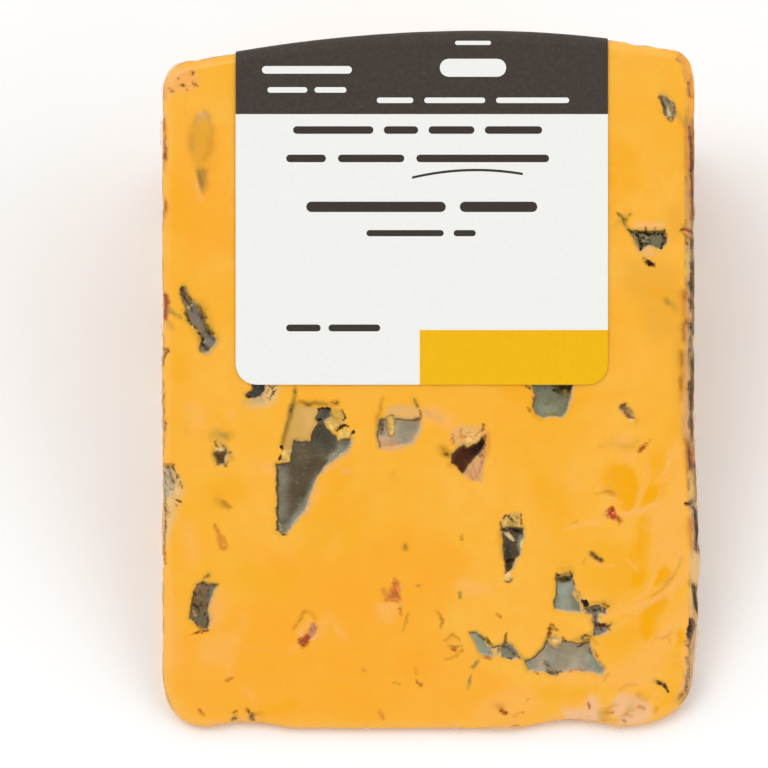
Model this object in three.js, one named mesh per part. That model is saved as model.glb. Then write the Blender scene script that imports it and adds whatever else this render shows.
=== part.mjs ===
// A retail wedge of orange blue cheese, wrapped tight in clear film, with a paper label stuck over its rind edge.
//
// Millimetres, +Z up. The wedge lies on one cut face, and the other cut face is its upper side, tilted by the
// wedge's own angle. X runs across the height of the wheel that the wedge was cut from, from one flat rind to the
// other. -Y is the blunt tip, near the wheel's middle, and +Y is the wheel's round outer rind.

import * as THREE from 'three';

const DEGREE = Math.PI / 180;

// The wheel and the cut
const WHEEL_HEIGHT = 77.8;
const CUT_LENGTH = 101;
const WEDGE_ANGLE = 28 * DEGREE;
const TIP_STANDOFF = 4; // the blunt tip's distance from the wheel's axis
const EDGE_ROUND = 1.6; // the soft edge between a cut face and the rind

// The outline of the cut face: x across it, v up it from the tip
const HALF = WHEEL_HEIGHT / 2;
const CREST_X = 7; // the outer rind bulges most here
const LEFT_SHOULDER = { across: 5.3, v: 97, corner: 5.6 };
const RIGHT_SHOULDER = { across: 4.4, v: 98.5, corner: 6.2 };
const LEFT_TIP_CORNER = { across: 6.5, up: 9.4 };
const RIGHT_TIP_CORNER = { across: 9.6, up: 9 };
const TIP_SAG = 0.15; // the tip's edge where it reaches furthest out
const TIP_DENTS = [
  { x: 20, reach: 8.5, depth: 1.25 },
  { x: -26, reach: 6.5, depth: 0.85 },
];
const FLANK_WAIST = 0.9; // the right flank is this much inside its bulge
const FLANK_BULGE_V = 24;

// The label: a sheet from the cut face over the edge and on down the outer rind
const LABEL = { width: 53.8, centreX: -1.4, bottomV: 49.9, overRind: 12.5, corner: 3, thickness: 0.4, gap: 0.3 };

// How finely the solids are faceted
const OUTLINE_POINTS = 132;
const ROUND_STEPS = 4;
const WALL_STEPS = 6;
const LABEL_COLUMNS = 20;
const LABEL_FACE_STEPS = 9;
const LABEL_RIND_STEPS = 5;

const film = new THREE.MeshStandardMaterial({ color: 0xf8b232, roughness: 0.3, metalness: 0 });
const paper = new THREE.MeshStandardMaterial({ color: 0xf0f0ed, roughness: 0.6, metalness: 0 });

/** How far the tip's edge is pushed in at x, by the soft dents in it. */
function tipEdge(x) {
  let v = TIP_SAG;
  for (const dent of TIP_DENTS) {
    const away = Math.min(Math.abs(x - dent.x) / dent.reach, 1);
    v += (dent.depth * (1 + Math.cos(Math.PI * away))) / 2;
  }
  return v;
}

/** The outer rind's height above the tip at x: two half parabolas that meet level at the crest. */
function crown(x) {
  const shoulder = x < CREST_X ? LEFT_SHOULDER : RIGHT_SHOULDER;
  const shoulderX = x < CREST_X ? -HALF + shoulder.across : HALF - shoulder.across;
  const share = (x - CREST_X) / (shoulderX - CREST_X);
  return CUT_LENGTH - (CUT_LENGTH - shoulder.v) * share * share;
}

/** The cut face's outline as a closed path, counter-clockwise from the left end of the tip. */
function cutOutline() {
  const waist = HALF - FLANK_WAIST;
  const path = new THREE.Path();
  const tipLeft = -HALF + LEFT_TIP_CORNER.across;
  const tipRight = HALF - RIGHT_TIP_CORNER.across;
  path.moveTo(tipLeft, tipEdge(tipLeft));
  const tip = [];
  for (let step = 1; step <= 16; step += 1) {
    const x = THREE.MathUtils.lerp(tipLeft, tipRight, step / 16);
    tip.push(new THREE.Vector2(x, tipEdge(x)));
  }
  path.splineThru(tip);
  path.quadraticCurveTo(waist - 0.1, tipEdge(tipRight), waist - 0.1, RIGHT_TIP_CORNER.up);
  path.splineThru([
    new THREE.Vector2(HALF, FLANK_BULGE_V),
    new THREE.Vector2(waist + 0.3, 40),
    new THREE.Vector2(waist, 60),
    new THREE.Vector2(waist, RIGHT_SHOULDER.v - RIGHT_SHOULDER.corner),
  ]);
  path.quadraticCurveTo(waist, RIGHT_SHOULDER.v, HALF - RIGHT_SHOULDER.across, RIGHT_SHOULDER.v);
  path.quadraticCurveTo((HALF - RIGHT_SHOULDER.across + CREST_X) / 2, CUT_LENGTH, CREST_X, CUT_LENGTH);
  path.quadraticCurveTo((LEFT_SHOULDER.across - HALF + CREST_X) / 2, CUT_LENGTH, LEFT_SHOULDER.across - HALF, LEFT_SHOULDER.v);
  path.quadraticCurveTo(-HALF, LEFT_SHOULDER.v, -HALF, LEFT_SHOULDER.v - LEFT_SHOULDER.corner);
  path.lineTo(-HALF, LEFT_TIP_CORNER.up);
  path.quadraticCurveTo(-HALF, tipEdge(tipLeft), tipLeft, tipEdge(tipLeft));
  return path.getSpacedPoints(OUTLINE_POINTS).slice(0, OUTLINE_POINTS);
}

/** The point at x, at radius from the wheel's axis and at an angle up from the face that the wedge lies on. */
function onWheel(x, radius, angle) {
  return new THREE.Vector3(x, radius * Math.cos(angle), radius * Math.sin(angle));
}

/** A BufferGeometry from points and from triples of their indices. */
function meshOf(points, triangles) {
  const geometry = new THREE.BufferGeometry();
  geometry.setAttribute('position', new THREE.Float32BufferAttribute(points.flatMap((p) => p.toArray()), 3));
  geometry.setIndex(triangles);
  geometry.computeVertexNormals();
  return geometry;
}

/** Joins each loop of points to the next one with two triangles a side. */
function stackLoops(loopCount, perLoop, triangles) {
  for (let loop = 0; loop + 1 < loopCount; loop += 1) {
    for (let i = 0; i < perLoop; i += 1) {
      const a = loop * perLoop + i;
      const b = loop * perLoop + ((i + 1) % perLoop);
      triangles.push(a, b, b + perLoop, a, b + perLoop, a + perLoop);
    }
  }
}

/**
 * The wrapped wedge: the outline turned about the wheel's axis by the wedge's angle, with soft edges. Each level
 * is the outline drawn in by its inset, and both cut faces are true planes.
 */
function wrappedWedge() {
  const outline = cutOutline();
  const count = outline.length;
  const outward = outline.map((_, i) => {
    const along = new THREE.Vector2().subVectors(outline[(i + 1) % count], outline[(i + count - 1) % count]);
    return new THREE.Vector2(along.y, -along.x).normalize();
  });
  const levels = [];
  for (let step = 0; step < ROUND_STEPS; step += 1) {
    levels.push({ turn: (-90 + (90 * step) / ROUND_STEPS) * DEGREE, upper: false, share: 0 });
  }
  for (let step = 0; step <= WALL_STEPS; step += 1) {
    levels.push({ turn: 0, upper: false, share: step / WALL_STEPS });
  }
  for (let step = 1; step <= ROUND_STEPS; step += 1) {
    levels.push({ turn: ((90 * step) / ROUND_STEPS) * DEGREE, upper: true, share: 1 });
  }
  const points = [];
  for (const level of levels) {
    for (let i = 0; i < count; i += 1) {
      const wall = (outline[i].y + TIP_STANDOFF) * WEDGE_ANGLE;
      const round = Math.min(EDGE_ROUND, wall / 2);
      const flat = outline[i].clone().addScaledVector(outward[i], -round * (1 - Math.cos(level.turn)));
      const rise = round + (wall - 2 * round) * level.share + round * Math.sin(level.turn);
      points.push(onWheel(flat.x, flat.y + TIP_STANDOFF, (rise / wall) * WEDGE_ANGLE));
    }
  }
  const triangles = [];
  stackLoops(levels.length, count, triangles);
  const top = (levels.length - 1) * count;
  const lid = outline.map((p, i) => p.clone().addScaledVector(outward[i], -EDGE_ROUND));
  for (const [a, b, c] of THREE.ShapeUtils.triangulateShape(lid, [])) {
    triangles.push(top + a, top + b, top + c, a, c, b);
  }
  return meshOf(points, triangles);
}

/** The label's section at x: points from its lower edge on the cut face to its end on the outer rind. */
function labelColumn(x, lift) {
  const half = LABEL.width / 2;
  const pastCorner = Math.max(Math.abs(x - LABEL.centreX) - (half - LABEL.corner), 0);
  const trim = LABEL.corner - Math.sqrt(Math.max(LABEL.corner ** 2 - pastCorner ** 2, 0));
  const rim = crown(x) + TIP_STANDOFF;
  const alongFace = new THREE.Vector2(Math.cos(WEDGE_ANGLE), Math.sin(WEDGE_ANGLE));
  const offFace = new THREE.Vector2(-alongFace.y, alongFace.x);
  const roundMiddle = alongFace.clone().multiplyScalar(rim - EDGE_ROUND).addScaledVector(offFace, -EDGE_ROUND);
  const column = [];
  const start = LABEL.bottomV + TIP_STANDOFF + trim;
  for (let step = 0; step < LABEL_FACE_STEPS; step += 1) {
    const radius = THREE.MathUtils.lerp(start, rim - EDGE_ROUND, step / LABEL_FACE_STEPS);
    column.push(alongFace.clone().multiplyScalar(radius).addScaledVector(offFace, lift));
  }
  for (let step = 0; step <= ROUND_STEPS; step += 1) {
    const turn = (90 - (90 * step) / ROUND_STEPS) * DEGREE;
    const reach = EDGE_ROUND + lift;
    column.push(
      roundMiddle.clone().addScaledVector(alongFace, reach * Math.cos(turn)).addScaledVector(offFace, reach * Math.sin(turn)),
    );
  }
  const wallTop = WEDGE_ANGLE - EDGE_ROUND / rim;
  const wallEnd = wallTop - (LABEL.overRind - trim) / rim;
  for (let step = 1; step <= LABEL_RIND_STEPS; step += 1) {
    const angle = THREE.MathUtils.lerp(wallTop, wallEnd, step / LABEL_RIND_STEPS);
    column.push(new THREE.Vector2(Math.cos(angle), Math.sin(angle)).multiplyScalar(rim + lift));
  }
  return column.map((p) => new THREE.Vector3(x, p.x, p.y));
}

/** The label: columns across its width, closer together at its round corners, each one an inner and an outer line. */
function label() {
  const points = [];
  let perColumn = 0;
  for (let column = 0; column <= LABEL_COLUMNS; column += 1) {
    const spread = Math.sin((column / LABEL_COLUMNS - 0.5) * Math.PI);
    const x = LABEL.centreX + (LABEL.width / 2) * spread;
    const inner = labelColumn(x, LABEL.gap);
    const outer = labelColumn(x, LABEL.gap + LABEL.thickness);
    perColumn = inner.length + outer.length;
    points.push(...inner, ...outer.reverse());
  }
  const triangles = [];
  stackLoops(LABEL_COLUMNS + 1, perColumn, triangles);
  const last = LABEL_COLUMNS * perColumn;
  for (let i = 0; i + 1 < perColumn / 2; i += 1) {
    const across = perColumn - 1 - i;
    triangles.push(i, across, i + 1, i + 1, across, across - 1);
    triangles.push(last + i, last + i + 1, last + across, last + i + 1, last + across - 1, last + across);
  }
  return meshOf(points, triangles);
}

/** The object: the wrapped wedge and its label, with the middle of their box's underside at the origin. */
function cheeseWedge() {
  const wedgeMesh = new THREE.Mesh(wrappedWedge(), film);
  wedgeMesh.name = 'wrapped_wedge';
  const labelMesh = new THREE.Mesh(label(), paper);
  labelMesh.name = 'label';
  const group = new THREE.Group();
  group.add(wedgeMesh, labelMesh);
  const box = new THREE.Box3().setFromObject(group);
  const middle = box.getCenter(new THREE.Vector3());
  group.position.set(-middle.x, -middle.y, -box.min.z);
  return group;
}

export default cheeseWedge();
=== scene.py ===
"""A retail wedge of orange blue cheese, wrapped tight in clear film, with a paper label over its rind edge.

The wedge lies on one cut face. The other cut face is its upper side, tilted by the wedge's own angle, and
carries the mould pockets, cracks and rusty flecks that the photograph shows. Places on a cut face are in
millimetres: x across it, from one flat rind to the other, and v up it, from the blunt tip to the outer rind.
"""

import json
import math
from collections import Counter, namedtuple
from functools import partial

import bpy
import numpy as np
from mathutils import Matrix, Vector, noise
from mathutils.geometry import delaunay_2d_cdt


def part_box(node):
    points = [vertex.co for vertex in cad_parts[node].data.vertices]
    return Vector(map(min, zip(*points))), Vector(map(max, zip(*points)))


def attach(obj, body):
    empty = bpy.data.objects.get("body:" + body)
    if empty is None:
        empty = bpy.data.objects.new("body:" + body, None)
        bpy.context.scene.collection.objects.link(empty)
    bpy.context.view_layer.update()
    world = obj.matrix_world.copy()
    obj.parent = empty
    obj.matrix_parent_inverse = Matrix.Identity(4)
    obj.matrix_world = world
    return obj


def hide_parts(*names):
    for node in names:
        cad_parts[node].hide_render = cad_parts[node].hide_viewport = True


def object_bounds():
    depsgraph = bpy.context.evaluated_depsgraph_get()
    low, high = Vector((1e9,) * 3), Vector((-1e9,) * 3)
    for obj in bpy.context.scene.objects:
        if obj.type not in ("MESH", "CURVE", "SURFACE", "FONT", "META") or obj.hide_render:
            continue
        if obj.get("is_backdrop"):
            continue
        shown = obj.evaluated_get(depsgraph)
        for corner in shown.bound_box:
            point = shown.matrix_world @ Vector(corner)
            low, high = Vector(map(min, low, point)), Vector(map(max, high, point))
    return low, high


bl_info = {
    "name": "Wrapped Blue Cheese Wedge",
    "version": (1, 0, 0),
    "blender": (4, 5, 0),
    "location": "View3D > Sidebar > Cheese",
    "description": "Builds a wedge of orange blue cheese with its rind, clear film and paper label",
    "category": "Object",
}

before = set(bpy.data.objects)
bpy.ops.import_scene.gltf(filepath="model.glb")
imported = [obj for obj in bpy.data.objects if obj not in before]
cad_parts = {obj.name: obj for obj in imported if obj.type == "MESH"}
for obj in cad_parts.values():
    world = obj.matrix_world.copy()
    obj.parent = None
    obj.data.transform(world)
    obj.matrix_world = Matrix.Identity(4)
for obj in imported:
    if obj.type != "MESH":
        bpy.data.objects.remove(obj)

CAD_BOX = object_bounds()
MM = 0.001

# The wheel and the cut, in millimetres, as the frame's solids have them
WHEEL_HEIGHT = 77.8
CUT_LENGTH = 101.0
WEDGE_ANGLE = math.radians(28)
TIP_STANDOFF = 4.0  # the blunt tip's distance from the wheel's axis
EDGE_ROUND = 1.6  # the soft edge between a cut face and the rind
HALF = WHEEL_HEIGHT / 2
CREST_X = 7.0  # the outer rind bulges most here
LEFT_SHOULDER = (-HALF + 5.3, 97.0)
RIGHT_SHOULDER = (HALF - 4.4, 98.5)
LEFT_FLANK, RIGHT_WAIST = -HALF - 0.12, HALF - 0.75  # x of the left flank, and of the right one's waist
LEFT_CORNERS = (9.4, 5.6)  # how far the round corners reach up the left flank from the tip, and down it
TIP_CORNERS = (6.6, 12.0)  # how far they reach along the tip, from the left and from the right
TIP_SAG = 0.3
RIND_FROM, RIND_FROM_RIGHT = 0.86, 0.15  # where the rind starts on a soft edge, as the cosine of its turn
# Up the right edge of the face: v, and how grimy the rind is there
GRIME_ON_RIGHT = (
    (0, 0.5), (8, 0.6), (14, 0.2), (22, 0.2), (27, 0.7), (75, 0.75), (84, 0.4), (92, 0.1), (101, 0.05),
)
# How far the right flank bulges past its waist: v, and millimetres out
RIGHT_BULGES = (
    (9.5, -0.15), (13.2, 0), (16.8, 0.95), (20, 0.15), (24.4, 1.05), (30, 0.45), (35, 0.35), (41, 0),
    (60, 0), (92.3, 0),
)
TIP_DENTS = ((20.5, 9.5, 1.3), (-27.0, 8.0, 0.95))  # x, reach and depth of each soft dent in the tip's edge

# The wheel's axis lies along X in the floor's plane, this far along Y
RIM_RADIUS = CUT_LENGTH + TIP_STANDOFF
AXIS_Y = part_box("wrapped_wedge")[1][1] / MM - RIM_RADIUS * math.cos(EDGE_ROUND / RIM_RADIUS)

FACE_UP = np.array((0.0, math.cos(WEDGE_ANGLE), math.sin(WEDGE_ANGLE)))  # up the shown cut face, from the tip
FACE_OUT = np.array((0.0, -math.sin(WEDGE_ANGLE), math.cos(WEDGE_ANGLE)))  # straight out of it

# How finely the surfaces are meshed, in millimetres
OUTLINE_STEP = 0.8
CHEESE_OUTLINE_STEP = 0.4
FINE_STEP = 0.25
FLAT_RINGS = (0.5, 0.25)  # flat rings round each cut face, inside its soft edge, so that its gloss runs even
FAR = 3.0  # past this distance a feature has no say
TENTH = 0.1  # the unit of the places and widths of what is on the shown face
CREASE_BAND, CREASE_LINE = 0.8, 0.05  # half the width of a crease's fine mesh, and of its sharp ridge
RIDGE_FOOT = 0.36  # how far a crease spreads past its ridge
DEEPEST = 4.5  # no hollow goes deeper
UNDER_FILM = 0.05  # the cheese stays this far inside its film
LEAST_THICKNESS = 0.3  # of cheese under a hollow at the thin tip
# UPPER_LEFT sets which side of each pocket gets painted shade and which gets painted highlight
UPPER_LEFT = np.array((-0.2, 0.2))  # a step on the shown face towards the key light

# The stage, in metres
FLOOR_REACH = 3.0
LAMP_DISTANCE = 1.2

# Colours, in sRGB hex
PASTE = "#FCB734"
COLOURS = {
    # tones of the paste
    "deep": "#FFAA26", "wet": "#F9AC00", "lifted": "#FFB95A", "blush": "#F2C092", "salmon": "#F6B070",
    "amber": "#E6A634", "pale rind": "#E8C080",
    # creamy paste on and around the mould
    "cream": "#EAD09A", "straw": "#E2BA62", "beige": "#E8B66C", "tan": "#D6AA58", "mustard": "#C8A03C",
    "pink clay": "#DAA880", "tan clay": "#DCA870",
    # grey and green mould, from pale to dark
    "pale stone": "#C0AE94", "warm stone": "#ACA088", "pale sage": "#A6AC9A", "lichen": "#A8A892",
    "ash": "#9E9886", "sage": "#8C9484", "moss": "#929478", "warm ash": "#94897A", "mauve grey": "#8E8278",
    "taupe": "#867A64", "walnut": "#866F4E", "moss grey": "#828268", "khaki grey": "#827A58",
    "driftwood": "#786C56", "bark": "#705C46", "dusk": "#62543E", "charcoal": "#47483F", "ink": "#33210E",
    "black": "#281C10",
    # olive and brown stains
    "olive": "#B48E2A", "khaki": "#9A8040", "ochre": "#C4841A", "dark olive": "#5E4A14", "umber": "#5A4224",
    "warm umber": "#725430", "brown": "#7A4410",
    # red and rusty flecks
    "maroon": "#5E260E", "dark maroon": "#360E04", "plum": "#6E5040", "rose": "#C07E60", "rust": "#A44A14",
    "brick": "#B04A26", "scarlet": "#C04020", "hole brown": "#925A38", "terracotta": "#C06820",
    "copper": "#D8803A", "rusty": "#D4822A",
}


# ---------------- What is on the shown cut face ----------------

# Points (x, v) are the corners of a closed patch. Points (x, v, width) are a stroke, and one such point is a
# spot. All are in tenths of a millimetre.
Feature = namedtuple("Feature", "layer colour soft shape amount relief ring")


def drawn(points):
    """A patch's corners in millimetres, or a stroke's points, with half widths in place of its widths."""
    return np.array(points, float) * (TENTH, TENTH, TENTH / 2)[:len(points[0])]


def tint(colour, amount, soft, points, relief=0.0, ring=0.0):
    """A soft tone of the paste, or a ring of it."""
    return Feature("tint", colour, soft, drawn(points), amount, relief, ring)


def mould(colour, soft, relief, points):
    """A pocket lined with mould, which is hollow where its relief is below zero."""
    return Feature("mould", colour, soft, drawn(points), 1.0, relief, 0.0)


def tone(colour, soft, points):
    """Another tone of mould inside a pocket."""
    return Feature("tone", colour, soft, drawn(points), 1.0, 0.0, 0.0)


def mark(colour, soft, points, relief=-0.12, ring=0.0):
    """A crack, a fleck or a crumb that lies over the paste and the mould."""
    return Feature("mark", colour, soft, drawn(points), 1.0, relief, ring)


def tints(colour, amount, soft, *shapes):
    """Several soft tones of one colour."""
    return [tint(colour, amount, soft, points) for points in shapes]


def marks(colour, soft, *shapes):
    """Several marks of one colour."""
    return [mark(colour, soft, points) for points in shapes]


# Tones of the paste: yellower where the film touches it, paler and peachy where it stands off
PASTE_TONES = (
    *tints("deep", 0.5, 1.6, [(-385,130),(-262,188),(-46,188),(128,58),(56,12),(-335,12),(-381,58)],
        [(-53,108),(-9,113),(12,90),(-9,75),(-46,81)], [(-277,275),(-147,246),(-17,303),(56,246),(12,159),
        (-190,188)], [(-363,896),(-298,867),(-291,694),(-349,665),(-371,766)]),
    *tints("wet", 0.45, 1.3, [(-190,303),(-132,376),(-115,397),(-125,303),(-161,246),(-190,246)], [(-139,275),
        (-118,332),(-86,364),(-92,303),(-115,246)], [(142,376),(186,361),(207,332),(186,289),(157,303),
        (145,340)], [(34,549),(243,484),(301,488),(243,477),(157,441)], [(-375,549),(-349,535),(-349,499),
        (-378,506)], [(-327,361),(-277,376),(-262,332),(-313,318)], [(151,61),(186,68),(243,64),(229,40),
        (186,35),(157,43)], [(265,853),(301,838),(309,780),(272,766)], [(-277,246),(-190,231),(-204,188),
        (-277,202)], [(-381,809),(-366,812),(-361,772),(-369,722),(-378,722)], [(238,275),(301,269),(310,243),
        (301,202),(251,194),(222,208),(215,228)], [(241,139),(287,153),(304,144),(287,121),(252,113)]),
    *tints("lifted", 0.6, 1.2, [(350,419),(365,410),(371,332),(368,251),(345,223),(323,231),(316,289),
        (298,312),(323,319),(342,338),(346,376)], [(374,188),(353,179),(342,159),(316,127),(287,107),(252,90),
        (249,69),(287,72),(324,81),(342,107),(356,139),(374,153)], [(186,84),(243,75),(301,84),(330,72),
        (301,58),(243,66),(186,66)], [(186,32),(243,43),(280,12),(186,12)], [(99,58),(142,64),(164,32),
        (128,9),(70,12),(56,26)], [(-311,202),(-300,205),(-294,182),(-300,156),(-310,144),(-316,165)],
        [(-335,130),(-277,147),(-277,116),(-298,90),(-337,98)], [(-355,471),(-335,474),(-326,462),(-330,442),
        (-340,425),(-349,433)], [(-361,298),(-346,303),(-337,267),(-339,246),(-352,234),(-358,266)],
        [(-387,188),(-366,179),(-363,87),(-384,95)]),
    *tints("lifted", 0.7, 0.7, [(-293,462),(-284,460),(-280,442),(-288,442)], [(-262,390),(-226,381),
        (-202,379),(-204,370),(-245,370)], [(-80,179),(-57,185),(-50,165),(-60,153),(-77,159)], [(30,208),
        (50,220),(85,211),(96,199),(56,194)], [(269,402),(293,402),(293,387),(274,389)], [(259,425),(287,428),
        (293,418),(267,413)], [(-272,171,5),(-272,153,6)], [(-294,101,6),(-291,78,6)], [(-268,61,9),
        (-256,46,9)], [(246,353,9)], [(204,358,9),(209,353,9)], [(232,367,6)], [(-147,162,9),(-126,130,9)]),
    *tints("wet", 0.9, 0.9, [(245,367),(258,383),(278,384),(290,374),(296,355),(293,335),(282,322),(269,328),
        (258,341),(248,351)], [(301,312),(314,306),(316,267),(309,246),(290,251),(296,282)], [(316,192),
        (336,202),(342,185),(330,165),(323,139),(310,127),(301,139),(304,165)]),
    *tints("wet", 0.45, 0.9, [(316,402),(339,405),(335,383),(323,363),(316,355),(311,376)], [(342,110),
        (359,113),(362,90),(345,81)], [(336,49),(350,58),(348,35),(336,32)]),
    *tints("wet", 0.95, 0.35, [(278,381),(290,377),(297,361),(300,345),(296,327),(285,316),(275,322),
        (284,347)], [(311,353),(327,355),(339,358),(336,344),(322,331),(303,321),(306,337)], [(293,228),
        (304,236),(310,224),(303,210),(290,205),(287,217)], [(336,238),(349,230),(342,217),(327,208),
        (317,211),(326,225)], [(355,142),(363,147),(366,123),(356,118)], [(319,191),(336,199),(340,185),
        (332,168),(322,165),(316,179)], [(306,171),(319,171),(316,142),(309,130),(301,144)]),
    *tints("lifted", 0.9, 0.3, [(317,379,2),(310,355,3),(303,338,3),(294,318,2)], [(355,413,3),(345,390,5),
        (336,370,4),(323,358,2)], [(189,288,2),(209,295,6),(238,299,6),(254,308,3)], [(275,312,7),(298,314,7),
        (319,319,4),(342,337,3)], [(252,337,3),(262,337,5),(274,328,2)], [(319,251,2),(323,224,5),(310,199,5),
        (296,188,2)], [(374,243,6),(365,223,6),(342,202,7),(316,186,7),(280,172,6),(248,162,4)], [(282,246,2),
        (293,237,3),(301,227,2)], [(326,131,2),(337,139,3),(349,149,3),(361,159,2)], [(243,191,2),(223,188,3),
        (206,191,2)], [(226,246,2),(243,237,3),(261,237,2)], [(301,12,2),(310,26,3),(317,40,2)], [(284,64,2),
        (297,71,3),(307,66,2)], [(319,43,2),(324,52,3),(336,49,2)], [(327,98,2),(342,101,3),(365,101,2)],
        [(-381,205,2),(-376,197,4),(-371,186,2)], [(-384,237,2),(-378,224,3),(-375,211,2)]),
    *tints("blush", 0.8, 0.7, [(261,40),(275,55),(293,49),(310,43),(319,32),(314,14),(296,6),(272,9),
        (261,26)], [(222,43),(232,52),(242,46),(239,30),(229,26),(222,32)], [(189,29),(243,32),(246,9),
        (194,12)]),
    *tints("salmon", 0.55, 0.6, [(-366,954),(-340,957),(-336,931),(-355,922),(-381,919),(-384,931)],
        [(-387,928,9),(-384,913,7)], [(359,488),(374,483),(374,425),(361,428)]),
    *tints("olive", 0.45, 0.5, [(241,29),(259,33),(256,13),(243,12)], [(274,17,3),(287,32,5),(293,43,2)],
        [(301,52,6),(310,43,4)]),
    *tints("ochre", 0.6, 0.3, [(362,251,2),(358,237,3),(349,221,3),(336,210,2)], [(324,134,1),(336,133,3),
        (346,142,2)], [(349,220,1),(336,205,3),(319,194,2)], [(249,26,1),(262,36,3),(271,38,1)], [(278,20,1),
        (285,27,3),(296,32,1)], [(249,71,1),(256,81,2)], [(296,52,2),(301,43,1)], [(326,33,3),(323,25,4)],
        [(343,136,1),(345,126,2)], [(272,58,1),(284,66,2),(296,66,1)], [(241,9,1),(252,14,2),(267,13,1)],
        [(203,298,1),(210,302,3)], [(236,341,1),(252,344,3),(265,340,2)], [(223,249,1),(220,240,2)]),
    *tints("amber", 0.45, 1.4, [(362,896),(376,905),(376,766),(365,809)], [(353,621),(371,636),(374,506),
        (359,500),(348,549)], [(301,607),(348,627),(353,578),(316,556)], [(336,751),(371,766),(371,708),
        (342,708)], [(278,679),(342,676),(362,668),(359,621),(301,616),(275,639)], [(350,556),(365,564),
        (368,419),(353,433)]),
    *tints("wet", 0.7, 0.6, [(319,633,9),(336,629,7)], [(256,847,6),(259,766,7)], [(264,376,9)]),
    *tints("olive", 0.4, 0.7, [(-316,425,17),(-291,425,9)], [(-326,220,6),(-320,225,5)], [(18,402,9),
        (27,393,4)], [(-24,477,6),(-21,471,4)], [(262,724,4),(275,736,6),(287,746,4)], [(189,231,6),
        (203,231,6)], [(-340,604,38),(-323,564,29)], [(-311,332,9),(-300,324,6)], [(243,410,3),(265,415,4),
        (287,407,6),(298,418,5)], [(245,182,6),(262,182,3)], [(-355,433,4),(-353,428,3)], [(-60,370,7),
        (-51,358,5)]),
)

# A ring and a drip of faint mould, high on the left
FAINT_RING = (
    tint("olive", 0.32, 0.9, [(-339,890),(-323,889),(-317,867),(-316,838),(-322,815),(-330,806),(-342,815),
        (-348,838),(-346,867)]),
    *tints("khaki", 0.5, 0.5, [(-339,886,2),(-345,870,4),(-348,850,6),(-345,832,5)], [(-323,886,1),
        (-317,870,2),(-316,850,2)], [(-327,893,5),(-322,887,3)]),
    *tints("pink clay", 0.75, 0.4, [(-337,880,3),(-335,889,5),(-327,889,5),(-323,880,2)]),
    *tints("ochre", 0.75, 0.5, [(-326,829,3),(-323,837,7),(-320,842,5)], [(-340,815,3),(-336,811,3),
        (-330,809,5),(-322,808,2)]),
    tint("khaki", 0.75, 0.4, [(-342,808),(-326,808),(-326,789),(-330,775),(-335,785),(-339,798)]),
    *tints("dark olive", 0.5, 0.4, [(-339,805,3),(-335,795,5),(-332,786,3)]),
    *tints("copper", 0.5, 0.5, [(-326,803,5),(-324,789,4),(-327,777,3)]),
    *tints("blush", 0.5, 0.5, [(-343,792,2),(-337,779,3),(-332,770,2)]),
)

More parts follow.
